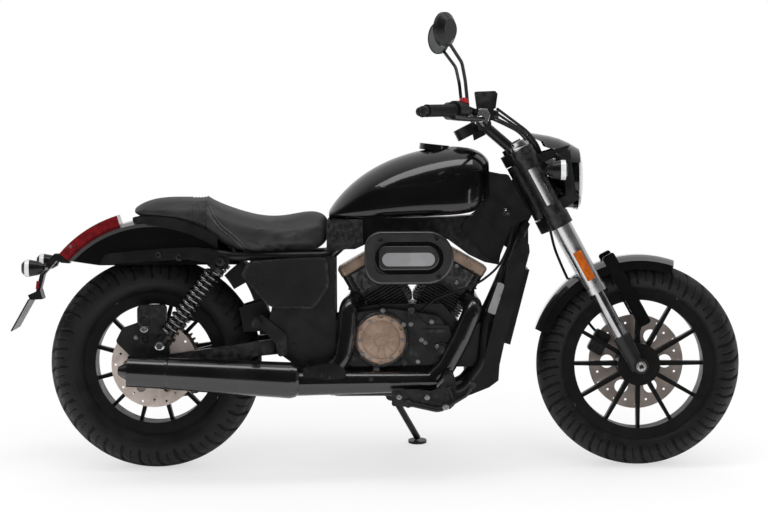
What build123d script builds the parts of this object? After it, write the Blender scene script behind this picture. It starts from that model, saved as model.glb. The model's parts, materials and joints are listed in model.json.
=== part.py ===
from build123d import *
import math
import os

# A cruiser motorcycle with a V-twin engine, resting on its side stand.
# Millimetres. The machine is first built upright: +X forward, +Y to its left, +Z up,
# X = 0 half-way between the axles and Z = 0 on the ground. At the end every piece is
# leaned to the left about the ground line, as it stands on its side stand.

os.makedirs("parts", exist_ok=True)

# ------------------------------------------------------------------ driving sizes
WHEELBASE = 1420.0
LEAN = 8.0                    # degrees, to the left
RAKE = 28.0                   # degrees, steering head from the vertical
CLEAR = 0.3                   # between curved faces of pieces that don't move apart
RUNNING = 0.05                # radial clearance of a shaft in its bearing

FRONT_TYRE_R, FRONT_TYRE_W, FRONT_RIM_R = 299.0, 120.0, 189.0
REAR_TYRE_R, REAR_TYRE_W, REAR_RIM_R = 310.5, 150.0, 175.0
CROWN_R = 66.0                # rounding of both tyres across the tread
FRONT_X, REAR_X = WHEELBASE / 2, -WHEELBASE / 2
SPOKES = 12
FRONT_AXLE_R, REAR_AXLE_R = 8.5, 9.0

FORK_HALF = 103.0             # half the distance between the two legs
FORK_OUTER_R, FORK_INNER_R = 27.0, 18.5
STEM_OFFSET = 32.0            # legs ahead of the steering axis
AXLE_LEAD = 8.0               # axle ahead of the leg line
STEM_R, HEAD_TUBE_R = 14.0, 29.0
BOTTOM_TOP, COLLAR_LOW, LOWER_CLAMP, UPPER_CLAMP, LEG_TOP = 105.0, 250.0, 470.0, 690.0, 738.0
LOWER_CLAMP_T, UPPER_CLAMP_T = 38.0, 34.0

CRANK = (46.0, 360.0)         # crankshaft seen from the side
VEE = 30.0                    # each cylinder from the vertical
CASE_HALF = 118.0             # half width of the crankcase
PIVOT = (-300.0, 365.0)       # swingarm pivot
FRAME_HALF, PLATE_IN, PLATE_OUT = 112.0, 114.0, 130.0
CHAIN_Y, CHAIN_PITCH, REAR_TEETH, FRONT_TEETH = 98.0, 15.875, 48, 16
SHOCK_TOP, SHOCK_LOW, SHOCK_Y = (-508.0, 616.0), (-687.0, 372.0), 150.0
FENDER_C, FENDER_R, FENDER_HALF, SHEET = (-712.0, 395.0), 340.0, 98.0, 4.0
MUFFLER_Y = 198.0
STEER_LOCK = 38.0             # degrees to each side
STAND_FOLD = 95.0             # degrees from the ground back to the frame


# ------------------------------------------------------------------ small makers
def solid_list(*shapes):
    """Every solid in the given shapes."""
    found = []
    for shape in shapes:
        if shape is None:
            continue
        if isinstance(shape, (list, tuple, ShapeList)):
            found += solid_list(*shape)
        else:
            found += shape.solids()
    return found


def fused(*shapes):
    """All shapes joined into as few solids as touch."""
    solids = solid_list(*shapes)
    return solid_list(solids[0].fuse(*solids[1:])) if len(solids) > 1 else solids


def cut(shapes, *tools):
    """The shapes with the tools' space taken out."""
    tools = solid_list(*tools)
    return solid_list(*[shape.cut(*tools) for shape in solid_list(shapes)])


def common(shapes, tool):
    """What the shapes share with one tool."""
    return solid_list(*[shape.intersect(tool) for shape in solid_list(shapes)])


def rod(a, b, r):
    """A round bar from a to b."""
    a, b = Vector(*a), Vector(*b)
    return Solid.make_cylinder(r, (b - a).length, Plane(origin=a, z_dir=b - a))


def cone(a, b, r_a, r_b):
    """A tapered round bar from a to b."""
    a, b = Vector(*a), Vector(*b)
    return Solid.make_cone(r_a, r_b, (b - a).length, Plane(origin=a, z_dir=b - a))


def cross(x, z, y0, y1, r):
    """A round bar across the machine at x, z from y0 to y1."""
    return rod((x, y0, z), (x, y1, z), r)


def block(x0, x1, y0, y1, z0, z1):
    """A box between the given sides."""
    return Solid.make_box(x1 - x0, y1 - y0, z1 - z0, Plane(origin=(x0, y0, z0)))


def slab(outline, y0, y1, r=0.0):
    """A side-view outline (x, z), its corners rounded by r, as thick as y0 to y1."""
    points = [(x, y0, z) for x, z in outline]
    if r:
        line = FilletPolyline(*points, radius=r, close=True)
    else:
        line = Polyline(*points, close=True)
    face = Face(Wire(line.edges()))
    return Solid.extrude(face, Vector(0, y1 - y0, 0))


def plan(outline, z0, z1):
    """A plan-view outline (x, y) as high as z0 to z1."""
    line = Polyline(*[(x, y, z0) for x, y in outline], close=True)
    return Solid.extrude(Face(Wire(line.edges())), Vector(0, 0, z1 - z0))


def spun(profile, centre, start=0.0, turn=360.0):
    """A profile of (radius, y) turned about a cross axis at centre (x, z)."""
    x, z = centre
    line = Polyline(*[(x + r, y, z) for r, y in profile], close=True)
    face = Face(Wire(line.edges())).rotate(Axis((x, 0, z), (0, -1, 0)), start)
    return Solid.revolve(face, turn, Axis((x, 0, z), (0, -1, 0)))


def tube_run(points, r, bends):
    """A round tube along straight runs joined by arcs of the given radii."""
    path = FilletPolyline(*points, radius=bends)
    section = Plane(origin=path @ 0, z_dir=path % 0) * Circle(r)
    return solid_list(sweep(section, path=path))


def cable(points, r, label):
    """A cable of radius r: straight runs joined by arcs as wide as the runs allow."""
    knots = [Vector(*point) for point in points]
    bends = []
    for before, corner, after in zip(knots, knots[1:], knots[2:]):
        run_in, run_out = corner - before, after - corner
        half_turn = math.radians(run_in.get_angle(run_out)) / 2
        bends.append(0.45 * min(run_in.length, run_out.length) / math.tan(half_turn))
    pieces = tube_run(points, r, bends)
    length = FilletPolyline(*points, radius=bends).length
    share = sum(piece.volume for piece in pieces) / (math.pi * r**2 * length)
    print(f"{label}: bend radii {[round(bend) for bend in bends]}, length {length:.0f},",
          f"volume to section times length {share:.4f}")
    return pieces


def both(*shapes):
    """The shapes and their mirror images on the other side."""
    solids = solid_list(*shapes)
    return solids + [solid.mirror(Plane.XZ) for solid in solids]


def along(a, b, t):
    """The point a share t of the way from a to b."""
    return tuple(p + (q - p) * t for p, q in zip(a, b))


def polar(centre, radius, degrees):
    """A side-view point at a radius and angle about a centre."""
    angle = math.radians(degrees)
    return (centre[0] + radius * math.cos(angle), centre[1] + radius * math.sin(angle))


RAKE_SIN, RAKE_COS = math.sin(math.radians(RAKE)), math.cos(math.radians(RAKE))
FRONT_AXLE, REAR_AXLE = (FRONT_X, FRONT_TYRE_R), (REAR_X, REAR_TYRE_R)


def fork(up, ahead=0.0, y=0.0):
    """A point of the fork: up the leg line from the axle, and ahead of that line."""
    forward = ahead - AXLE_LEAD
    x = FRONT_X - up * RAKE_SIN + forward * RAKE_COS
    z = FRONT_TYRE_R + up * RAKE_COS + forward * RAKE_SIN
    return (x, y, z)


def fork_plate(outline, up0, up1):
    """A plate across the fork: outline of (ahead, y), from up0 to up1."""
    line = Polyline(*[fork(up0, ahead, y) for ahead, y in outline], close=True)
    lift = Vector(*fork(up1)) - Vector(*fork(up0))
    return Solid.extrude(Face(Wire(line.edges())), lift)


NODES = {}


def node(name, *shapes):
    """Keeps one sub-part under its name."""
    NODES[name] = solid_list(*shapes)


# ------------------------------------------------------------------ wheels
CROWN_HALF = 40.0             # half the width of the tread that is round
BEAD = 33.0                   # the tyre's bead above the rim's opening


def tyre(axle, radius, width, rim_r):
    """A tyre: a round crown, bulging sidewalls and a flat inside on the rim."""
    crown = radius - CROWN_R + math.sqrt(CROWN_R**2 - CROWN_HALF**2)
    bead, seat = rim_r + BEAD, width * 0.36
    bulge = (crown + bead) / 2 + 4

    def at(r, y):
        return (axle[0] + r, y, axle[1])

    section_wire = Wire([
        Edge.make_three_point_arc(at(crown, -CROWN_HALF), at(radius, 0), at(crown, CROWN_HALF)),
        Edge.make_three_point_arc(at(crown, CROWN_HALF), at(bulge, width / 2), at(bead, seat)),
        Edge.make_line(at(bead, seat), at(bead, -seat)),
        Edge.make_three_point_arc(at(bead, -seat), at(bulge, -width / 2), at(crown, -CROWN_HALF)),
    ])
    return Solid.revolve(Face(section_wire), 360, Axis((axle[0], 0, axle[1]), (0, 1, 0)))


def cast_rim(axle, tyre_w, rim_r, hub_half, hub_r, first_spoke, bore_r):
    """A cast rim: barrel, hub and straight spokes in one piece."""
    half, outer = tyre_w * 0.36, rim_r + BEAD - CLEAR
    barrel = spun([(rim_r, -half), (outer, -half), (outer, half), (rim_r, half)], axle)
    hub = cross(*axle, -hub_half, hub_half, hub_r)
    spokes = []
    for index in range(SPOKES):
        bar = slab([(hub_r - 8, -7), (rim_r + 6, -5), (rim_r + 6, 5), (hub_r - 8, 7)], -17, 17)
        bar = bar.rotate(Axis((0, 0, 0), (0, -1, 0)), first_spoke + index * 360 / SPOKES)
        spokes.append(bar.translate(Vector(axle[0], 0, axle[1])))
    return cut(fused(barrel, hub, *spokes), cross(*axle, -hub_half - 1, hub_half + 1, bore_r))


FRONT_HUB_HALF, REAR_HUB_HALF = 56.0, 84.0
# columns: name, axle, tyre radius, tyre width, rim opening, hub half width, hub radius,
# angle of the first spoke, axle radius
WHEELS = [
    ("front", FRONT_AXLE, FRONT_TYRE_R, FRONT_TYRE_W, FRONT_RIM_R, FRONT_HUB_HALF, 62.0, 0.0,
     FRONT_AXLE_R),
    ("rear", REAR_AXLE, REAR_TYRE_R, REAR_TYRE_W, REAR_RIM_R, REAR_HUB_HALF, 66.0, 15.0, REAR_AXLE_R),
]
for end, axle, tyre_r, tyre_w, rim_r, hub_half, hub_r, first_spoke, axle_r in WHEELS:
    node(f"{end}_tyre", tyre(axle, tyre_r, tyre_w, rim_r))
    node(f"{end}_rim", cast_rim(axle, tyre_w, rim_r, hub_half, hub_r, first_spoke, axle_r + RUNNING))


def brake_disc(axle, radius, y0, y1, carrier_r, hole_r, holes):
    """A disc with a row of cooling holes and a carrier bolted to the hub."""
    plate = spun([(radius - 34, y0), (radius, y0), (radius, y1), (radius - 34, y1)], axle)
    carrier = spun([(carrier_r, y0), (radius - 33, y0), (radius - 33, y1), (carrier_r, y1)], axle)
    windows = []
    for index in range(6):
        x, z = polar(axle, (radius - 34 + carrier_r + 22) / 2, index * 60)
        windows.append(cross(x, z, y0 - 1, y1 + 1, (radius - 34 - carrier_r - 22) / 2))
    for index in range(holes):
        x, z = polar(axle, radius - 12 - 10 * (index % 2), index * 360 / holes)
        windows.append(cross(x, z, y0 - 1, y1 + 1, hole_r))
    return cut(fused(plate, carrier), *windows)


FRONT_DISC_R, REAR_DISC_R, DISC_T = 140.0, 125.0, 5.0
node(
    "front_disc",
    brake_disc(FRONT_AXLE, FRONT_DISC_R, FRONT_HUB_HALF, FRONT_HUB_HALF + DISC_T, 44.0, 3.5, 24),
)
node(
    "rear_disc",
    brake_disc(REAR_AXLE, REAR_DISC_R, -REAR_HUB_HALF - DISC_T, -REAR_HUB_HALF, 40.0, 3.5, 20),
)


def pitch_radius(teeth):
    """Radius of the chain's pins round a sprocket."""
    return CHAIN_PITCH / 2 / math.sin(math.pi / teeth)


def sprocket(axle, teeth, bore, y0, y1, first=0.0):
    """A sprocket whose teeth stand between the chain's pins."""
    pitch = pitch_radius(teeth)
    outline = []
    for index in range(teeth):
        for share, radius in ((-0.30, pitch - 5), (-0.14, pitch + 4), (0.14, pitch + 4),
                              (0.30, pitch - 5)):
            outline.append(polar(axle, radius, first + (index + share) * 360 / teeth))
    return cut(slab(outline, y0, y1), cross(*axle, y0 - 1, y1 + 1, bore))


SPROCKET_T = 6.0
sprocket_body = sprocket(REAR_AXLE, REAR_TEETH, 30.0, CHAIN_Y - SPROCKET_T / 2, CHAIN_Y + SPROCKET_T / 2)
windows = [cross(*polar(REAR_AXLE, 78, 30 + 60 * k), CHAIN_Y - 9, CHAIN_Y + 9, 22) for k in range(6)]
carrier = spun(
    [(30, REAR_HUB_HALF), (52, REAR_HUB_HALF), (52, CHAIN_Y - SPROCKET_T / 2),
     (30, CHAIN_Y - SPROCKET_T / 2)],
    REAR_AXLE,
)
node("rear_sprocket", fused(cut(sprocket_body, *windows), carrier))

# ------------------------------------------------------------------ fork
CASTING_IN = FORK_HALF - 30
casting_boss = cross(*FRONT_AXLE, CASTING_IN, FORK_HALF + 22, 22)
casting_leg = cone(fork(-4, 0, FORK_HALF), fork(BOTTOM_TOP, 0, FORK_HALF), 21, 27)
casting = cut(
    fused(casting_boss, casting_leg),
    cross(*FRONT_AXLE, CASTING_IN - 1, FORK_HALF + 30, FRONT_AXLE_R),
    rod(fork(BOTTOM_TOP - 40, 0, FORK_HALF), fork(BOTTOM_TOP + 1, 0, FORK_HALF), FORK_INNER_R),
)
node("fork_bottoms", both(casting))
node("fork_inners", both(rod(fork(BOTTOM_TOP - 40, 0, FORK_HALF), fork(COLLAR_LOW + 60, 0, FORK_HALF),
                             FORK_INNER_R)))
outer = fused(
    rod(fork(COLLAR_LOW, 0, FORK_HALF), fork(COLLAR_LOW + 20, 0, FORK_HALF), FORK_OUTER_R + 3),
    rod(fork(COLLAR_LOW + 20, 0, FORK_HALF), fork(LEG_TOP, 0, FORK_HALF), FORK_OUTER_R),
    rod(fork(LEG_TOP, 0, FORK_HALF), fork(LEG_TOP + 8, 0, FORK_HALF), FORK_OUTER_R - 7),
)
outer = cut(outer, rod(fork(COLLAR_LOW - 1, 0, FORK_HALF), fork(COLLAR_LOW + 60, 0, FORK_HALF),
                       FORK_INNER_R))
node("fork_outers", both(outer))
node(
    "front_axle",
    fused(
        cross(*FRONT_AXLE, -FORK_HALF - 22, FORK_HALF + 22, FRONT_AXLE_R),
        cross(*FRONT_AXLE, -FORK_HALF - 30, -FORK_HALF - 22, 15),
        cross(*FRONT_AXLE, FORK_HALF + 22, FORK_HALF + 32, 13),
    ),
    both(
        cut(
            cross(*FRONT_AXLE, FRONT_HUB_HALF + 1, CASTING_IN, FRONT_AXLE_R + 7),
            cross(*FRONT_AXLE, FRONT_HUB_HALF, CASTING_IN + 1, FRONT_AXLE_R),
        )
    ),
)

STEM_AHEAD = -STEM_OFFSET
ARM = 36.0                    # half width of a clamp round its leg


def clamp(up, thick, waist):
    """One fork clamp: a web between two rings, bored for the legs."""
    web = [(ARM * 0.6, FORK_HALF), (waist, 30), (waist, -30), (ARM * 0.6, -FORK_HALF)]
    web += [(-ARM * 0.6, -FORK_HALF), (STEM_AHEAD - 30, -24), (STEM_AHEAD - 30, 24),
            (-ARM * 0.6, FORK_HALF)]
    rings = [rod(fork(up, 0, y), fork(up + thick, 0, y), ARM - 2) for y in (-FORK_HALF, FORK_HALF)]
    bores = [rod(fork(up - 1, 0, y), fork(up + thick + 1, 0, y), FORK_OUTER_R)
             for y in (-FORK_HALF, FORK_HALF)]
    return cut(fused(fork_plate(web, up, up + thick), *rings), *bores)


stem = rod(fork(LOWER_CLAMP + 4, STEM_AHEAD), fork(UPPER_CLAMP + UPPER_CLAMP_T + 6, STEM_AHEAD), STEM_R)
stem_nut = rod(
    fork(UPPER_CLAMP + UPPER_CLAMP_T, STEM_AHEAD), fork(UPPER_CLAMP + UPPER_CLAMP_T + 14, STEM_AHEAD),
    STEM_R + 4
)
node(
    "fork_clamps",
    fused(clamp(LOWER_CLAMP, LOWER_CLAMP_T, 10), clamp(UPPER_CLAMP, UPPER_CLAMP_T, 6), stem, stem_nut),
)

# ------------------------------------------------------------------ front fender
FENDER_GAP = 19.0             # from the tyre's tread to the front fender's outside
FRONT_FENDER_HALF = FORK_HALF - FORK_OUTER_R - 4
FRONT_FENDER_R = FRONT_TYRE_R + FENDER_GAP
outline = [
    (FRONT_FENDER_R - 38, FRONT_FENDER_HALF), (FRONT_FENDER_R - 12, FRONT_FENDER_HALF),
    (FRONT_FENDER_R - 2, 44), (FRONT_FENDER_R + 3, 26),
]
outline = outline + [(r, -y) for r, y in reversed(outline)]
inside = [
    (FRONT_FENDER_R - 39, FRONT_FENDER_HALF - 4), (FRONT_FENDER_R - 14, FRONT_FENDER_HALF - 4),
    (FRONT_FENDER_R - 6, 42), (FRONT_FENDER_R - 1, 25),
]
inside = inside + [(r, -y) for r, y in reversed(inside)]
front_fender = cut(spun(outline, FRONT_AXLE, 71, 90), spun(inside, FRONT_AXLE, 65, 102))
stay = slab(
    [fork(96, 60)[::2], fork(96, 98)[::2], fork(330, 96)[::2], fork(330, 58)[::2]],
    FRONT_FENDER_HALF, FRONT_FENDER_HALF + 4, 8,
)
stay = fused(
    stay,
    slab([fork(60, 10)[::2], fork(60, 30)[::2], fork(130, 98)[::2], fork(96, 60)[::2]],
         FRONT_FENDER_HALF, FRONT_FENDER_HALF + 4),
)
fender_boss = cross(*fork(66, 14)[::2], FRONT_FENDER_HALF, FORK_HALF - 12, 7)
node("front_fender", cut(fused(front_fender, *both(stay, fender_boss)), *NODES["fork_bottoms"],
                         *NODES["fork_inners"]))

# ------------------------------------------------------------------ headlight
LAMP_Z, LAMP_R, LAMP_FRONT, LAMP_BACK = 843.0, 88.0, 532.0, 448.0


def turned_ahead(profile, z, y=0.0):
    """A profile of (x, radius) turned about a fore-and-aft axis at y, z."""
    line = Polyline(*[(x, y, z + r) for x, r in profile], close=True)
    return Solid.revolve(Face(Wire(line.edges())), 360, Axis((0, y, z), (1, 0, 0)))


shell = turned_ahead(
    [(LAMP_BACK, 0), (LAMP_BACK, 34), (LAMP_BACK + 20, 62), (LAMP_BACK + 52, LAMP_R - 5),
     (LAMP_FRONT - 12, LAMP_R - 2), (LAMP_FRONT - 12, LAMP_R + 1), (LAMP_FRONT, LAMP_R + 1),
     (LAMP_FRONT, 0)],
    LAMP_Z,
)
lens = turned_ahead(
    [(LAMP_FRONT, 0), (LAMP_FRONT, LAMP_R - 4), (LAMP_FRONT + 9, LAMP_R - 8),
     (LAMP_FRONT + 15, LAMP_R - 38),
     (LAMP_FRONT + 17, 0)],
    LAMP_Z,
)
node("headlight_lens", lens)
# the cowl over the headlight: x, radius about the lamp's axis, and its side view
COWL_RADII = [(538, 89), (508, 107), (479, 120), (449, 128), (390, 138)]
COWL_SIDE = [(545, 893), (545, 935), (480, 985), (385, 990), (385, 974), (430, 954), (439, 939),
             (463, 931),
             (471, 903), (505, 893)]
cowl_ring = turned_ahead(COWL_RADII + [(x, r - SHEET) for x, r in reversed(COWL_RADII)], LAMP_Z)
cowl = common(cowl_ring, slab(COWL_SIDE, -150, 150))
cowl = [max(cowl, key=lambda piece: piece.volume)]
node("headlight_shell", cut(fused(shell, *cowl), lens))

# sleeves on the legs that carry the lamp and the front indicators
sleeve_low = (LOWER_CLAMP + LOWER_CLAMP_T, LOWER_CLAMP + LOWER_CLAMP_T + 34)
sleeve_high = (UPPER_CLAMP - 30, UPPER_CLAMP)
SLEEVE_R = FORK_OUTER_R + 4
INDICATOR_Y, INDICATOR_Z = 165.0, 873.0
brackets = []
for low, high in (sleeve_low, sleeve_high):
    sleeve = rod(fork(low, 0, FORK_HALF), fork(high, 0, FORK_HALF), SLEEVE_R)
    brackets.append(cut(sleeve, rod(fork(low - 1, 0, FORK_HALF), fork(high + 1, 0, FORK_HALF),
                                    FORK_OUTER_R)))
ear = slab(
    [fork(sleeve_low[0], 20)[::2], fork(sleeve_low[1], 20)[::2], fork(sleeve_low[1], 84)[::2],
     fork(sleeve_low[0] + 8, 84)[::2]],
    FORK_HALF - 13, FORK_HALF - 7,
)
ear_high = slab(
    [fork(sleeve_high[0], 20)[::2], fork(sleeve_high[1], 20)[::2], (506, 945), (492, 920)],
    FORK_HALF - 13, FORK_HALF - 7,
)
link = slab(
    [fork(sleeve_low[1], 52)[::2], fork(sleeve_low[1], 84)[::2], (506, 930), (480, 930)],
    FORK_HALF - 13, FORK_HALF - 7,
)
stalk = rod((455, FORK_HALF - 10, INDICATOR_Z), (455, INDICATOR_Y, INDICATOR_Z), 8)
arm_plate = slab([(444, 858), (444, 888), (512, 888), (512, 858)], FORK_HALF - 13, FORK_HALF - 7)
lamp_bolt = cross(500, LAMP_Z, LAMP_R - 8, FORK_HALF - 10, 9)
bracket = cut(
    fused(*brackets, ear, ear_high, link, arm_plate, lamp_bolt, stalk),
    rod(fork(LOWER_CLAMP, 0, FORK_HALF), fork(LEG_TOP, 0, FORK_HALF), FORK_OUTER_R),
    shell, *cowl,
)
node("lamp_brackets", both(bracket))
bullet = turned_ahead([(426, 0), (434, 13), (450, 24), (475, 29), (475, 0)], INDICATOR_Z, INDICATOR_Y)
indicator_lens = turned_ahead([(475, 0), (475, 29), (484, 28), (494, 16), (496, 0)], INDICATOR_Z,
                              INDICATOR_Y)
bullet = cut(fused(bullet, indicator_lens), stalk)
node("front_indicators", both(bullet))

# ------------------------------------------------------------------ handlebar
BAR_R = 11.0
BAR_UP, BAR_AHEAD = 113.3, -58.7      # the bar's middle above the upper clamp, and ahead of the legs
bar_mid = fork(UPPER_CLAMP + UPPER_CLAMP_T + BAR_UP, BAR_AHEAD)
BAR_CENTRE = (bar_mid[0], bar_mid[2])


def from_bar(x, y, z):
    """A point given from the middle of the handlebar."""
    return (BAR_CENTRE[0] + x, y, BAR_CENTRE[1] + z)


def bar_block(x0, x1, y0, y1, z0, z1):
    """A box given from the middle of the handlebar."""
    return block(BAR_CENTRE[0] + x0, BAR_CENTRE[0] + x1, y0, y1, BAR_CENTRE[1] + z0, BAR_CENTRE[1] + z1)


BAR_BENDS = [60, 80, 60]
BAR_POINTS = [from_bar(0, 0, 0), from_bar(0, 70, 0), from_bar(-32, 214, 33), from_bar(-53, 285, 40),
              from_bar(-176, 432, 38)]
bar_half = tube_run(BAR_POINTS, BAR_R, BAR_BENDS)
handlebar = fused(bar_half, bar_half[0].mirror(Plane.XZ))
node("handlebar", handlebar)
RISER_Y, RISER_R, RISER_HALF = 45.0, 15.0, 16.0
risers = []
for y in (-RISER_Y, RISER_Y):
    risers.append(rod(fork(UPPER_CLAMP + UPPER_CLAMP_T, -18, y), from_bar(4, y, -7), RISER_R))
    risers.append(cross(*BAR_CENTRE, y - RISER_HALF, y + RISER_HALF, BAR_R + 10))
clamp_space = fork_plate([(-90, -90), (60, -90), (60, 90), (-90, 90)], UPPER_CLAMP,
                         UPPER_CLAMP + UPPER_CLAMP_T)
node("bar_risers", cut(fused(*risers), clamp_space, *handlebar))
GRIP_IN, GRIP_OUT = along(BAR_POINTS[3], BAR_POINTS[4], 0.358), along(BAR_POINTS[3], BAR_POINTS[4], 0.984)
grip = rod(GRIP_IN, along(GRIP_IN, GRIP_OUT, 0.98), 17)
grip_end = rod(along(GRIP_IN, GRIP_OUT, 0.98), along(GRIP_IN, GRIP_OUT, 1.12), 14)
node("grips", both(cut(fused(grip, grip_end), *bar_half)))
HOUSING_IN, HOUSING_R = along(GRIP_IN, GRIP_OUT, -0.36), 27.0
housing = cut([rod(HOUSING_IN, along(GRIP_IN, GRIP_OUT, -0.02), HOUSING_R)], *bar_half)
node("switch_housings", both(housing))
LEVER = [from_bar(-12, 268, 15), from_bar(-26, 300, 13), from_bar(-62, 360, 15), from_bar(-98, 424, 19)]
lever = fused(*tube_run(LEVER, 6.5, [40, 60]), rod(from_bar(-12, 250, 5), from_bar(-12, 250, 15), 10))
perch = bar_block(-30, 16, 230, 266, 4, 30)
reservoir = slab([from_bar(x, 0, z)[::2] for x, z in ((-28, 43), (-35, 92), (24, 94), (31, 86),
                                                      (25, 43))], 222, 268, 4)
master = fused(
    bar_block(-30, 20, 226, 268, 10, 44),
    rod(from_bar(-40, 247, 26), from_bar(34, 247, 26), 13),
    cross(*from_bar(-12, 0, 18)[::2], 220, 270, 10),
    reservoir,
)
left_lever = cut(fused(perch, lever), *bar_half, *housing)
right_lever = cut(fused(master, lever), *bar_half, *housing)
node("hand_levers", left_lever, [solid.mirror(Plane.XZ) for solid in right_lever])
MIRROR_C, MIRROR_R = from_bar(-118, 405, 264), 49.0
MIRROR_OUT = Vector(0.80, 0.60, 0.0)
mirror_stem = tube_run(
    [from_bar(-54, 290, 43), from_bar(-62, 300, 123), from_bar(-72, 330, 173), from_bar(-108, 392, 225)],
    5.0, [40, 60],
)
mirror_head = fused(
    rod(tuple(Vector(*MIRROR_C) - MIRROR_OUT * 8), MIRROR_C, MIRROR_R),
    cone(MIRROR_C, tuple(Vector(*MIRROR_C) + MIRROR_OUT * 16), MIRROR_R, 30),
)
node("mirrors", both(cut(fused(*mirror_head, *mirror_stem), *housing, *bar_half)))
GAUGE_C, GAUGE_R, GAUGE_T, GAUGE_TILT = from_bar(-50, 0, -23), 34.0, 30.0, 27.0
gauge_up = Vector(-math.sin(math.radians(GAUGE_TILT)), 0,
                  math.cos(math.radians(GAUGE_TILT))) * (GAUGE_T / 2)
gauge_case = rod(tuple(Vector(*GAUGE_C) - gauge_up), tuple(Vector(*GAUGE_C) + gauge_up), GAUGE_R)
gauge_arm = slab([from_bar(x, 0, z)[::2] for x, z in
                  ((-34, -20), (0, -12), (12, -7), (18, -15), (4, -33), (-28, -49))], -14, 14)
gauge_clamp = cross(*BAR_CENTRE, -14, 14, BAR_R + 8)
node("instrument", cut(fused(gauge_case, gauge_arm, gauge_clamp), *handlebar))

# ------------------------------------------------------------------ front brake
CALIPER_ANGLE = 152.0
caliper_c = polar(FRONT_AXLE, FRONT_DISC_R - 16, CALIPER_ANGLE)
caliper = slab(
    [(-34, -24), (34, -24), (34, 24), (-34, 24)], FRONT_HUB_HALF - 14, FRONT_HUB_HALF + DISC_T + 15, 8
).rotate(Axis((0, 0, 0), (0, -1, 0)), CALIPER_ANGLE + 90).translate(Vector(caliper_c[0], 0, caliper_c[1]))
slot = cross(*FRONT_AXLE, FRONT_HUB_HALF - 2, FRONT_HUB_HALF + DISC_T + 2, FRONT_DISC_R + 3)
caliper = cut([caliper], slot)
caliper_lug = slab(
    [fork(60, -5)[::2], fork(100, -5)[::2], fork(100, -60)[::2], fork(60, -60)[::2]],
    FRONT_HUB_HALF + DISC_T + 15, FORK_HALF, 6,
)
caliper = cut(fused(caliper, cut([caliper_lug], slot)), *NODES["fork_bottoms"], *NODES["fork_inners"])
node("front_caliper", caliper)
HOSE_R, CABLE_R = 4.0, 3.5
hose_points = [
    fork(LOWER_CLAMP - 2, -30, 60), fork(LOWER_CLAMP - 60, -46, 66), fork(LOWER_CLAMP - 130, -52, 84),
    fork(250, -56, 92), fork(170, -62, 90), (596, 66, 384),
]
# cables from each end of the handlebar to the back of the headlight, as points from the bar's middle
LINE_TO_LAMP = [(31, 235, 43), (79, 180, 9), (126, 120, -24), (157, 80, -65), (170, 66, -104),
                (190, 30, -150)]
LINE_BEHIND = [(16, 240, 22), (64, 176, 0), (112, 112, -26), (144, 70, -70), (158, 54, -112),
               (188, 16, -162)]
front_hose = cable(hose_points, HOSE_R, "front brake hose")
bar_line = cable([from_bar(*point) for point in LINE_TO_LAMP], HOSE_R, "outer bar cable")
bar_line_behind = cable([from_bar(*point) for point in LINE_BEHIND], CABLE_R, "inner bar cable")
lines = cut(
    [*front_hose, *both(bar_line, bar_line_behind)],
    *caliper, shell, *cowl, *NODES["lamp_brackets"], *NODES["hand_levers"], *NODES["switch_housings"],
    *NODES["fork_clamps"],
)
node("front_cables", lines)

# ------------------------------------------------------------------ frame
RAIL_R, CRADLE_R, BACKBONE_R = 13.0, 14.0, 22.0
head_low, head_high = fork(LOWER_CLAMP + LOWER_CLAMP_T + 4, STEM_AHEAD), fork(UPPER_CLAMP - 4, STEM_AHEAD)
head_tube = rod(head_low, head_high, HEAD_TUBE_R)
stem_hole = rod(fork(LOWER_CLAMP, STEM_AHEAD), fork(UPPER_CLAMP + 60, STEM_AHEAD), STEM_R + RUNNING)
SEAT_LOW = 640.0
RAIL_Z = SEAT_LOW - CLEAR - RAIL_R
backbone = tube_run([(385, 0, 760), (250, 0, 705), (-120, 0, 700), (-190, 0, 636)], BACKBONE_R, [120, 90])
rails = both(
    tube_run([(-170, 0, 652), (-205, FRAME_HALF, RAIL_Z), (-470, FRAME_HALF, RAIL_Z),
              (-560, FRAME_HALF, 640)],
             RAIL_R, [30, 90])
)
CRADLE_HALF, CRADLE_LOW = 122.0, 232.0
CRADLE_POINTS = [
    (380, 16, 716), (330, 62, 600), (258, 112, 430), (246, CRADLE_HALF, 310),
    (190, CRADLE_HALF, CRADLE_LOW),
    (-190, CRADLE_HALF, CRADLE_LOW), (-270, CRADLE_HALF, CRADLE_LOW + 74),
]
cradle = both(tube_run(CRADLE_POINTS, CRADLE_R, [120, 100, 60, 60, 60]))
# the plates stop short of the swingarm, which spreads outward behind them
plates = both(
    slab([(-345, 345), (-300, 312), (-280, 285), (-200, 285), (-178, 320), (-178, RAIL_Z), (-310, RAIL_Z),
          (-345, 560), (-372, 440), (-372, 408), (-345, 400)], PLATE_IN, PLATE_OUT, 10)
)
SPINE_HALF = 44.0
spine = slab(
    [(-188, 731), (150, 735), (262, 742), (300, 735), (318, 700), (300, 594), (258, 602), (212, 624),
     (150, 670),
     (-60, 670), (-122, 642), (-188, 642)], -SPINE_HALF, SPINE_HALF,
)
SEAT_TUBE, SEAT_TUBE_R = (-262.0, 560.0), 12.0
cross_tubes = [
    cross(*SEAT_TUBE, -PLATE_OUT, PLATE_OUT, SEAT_TUBE_R),
    cross(*PIVOT, -PLATE_OUT - 6, PLATE_OUT + 6, 8),
]
gusset = slab(
    [(346, 850), (300, 760), (250, 722), (250, 692), (330, 640), (388, 656), (388, 718), (400, 742)],
    -18, 18,
)
main_frame = cut(fused(head_tube, *backbone, *rails, *plates, *cross_tubes, gusset, spine), stem_hole)
cradle = cut(fused(*cradle, cross(-190, CRADLE_LOW, -CRADLE_HALF, CRADLE_HALF, 12)), *main_frame)
node("frame", main_frame)
node("cradle", cradle)
frame = main_frame + cradle

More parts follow.
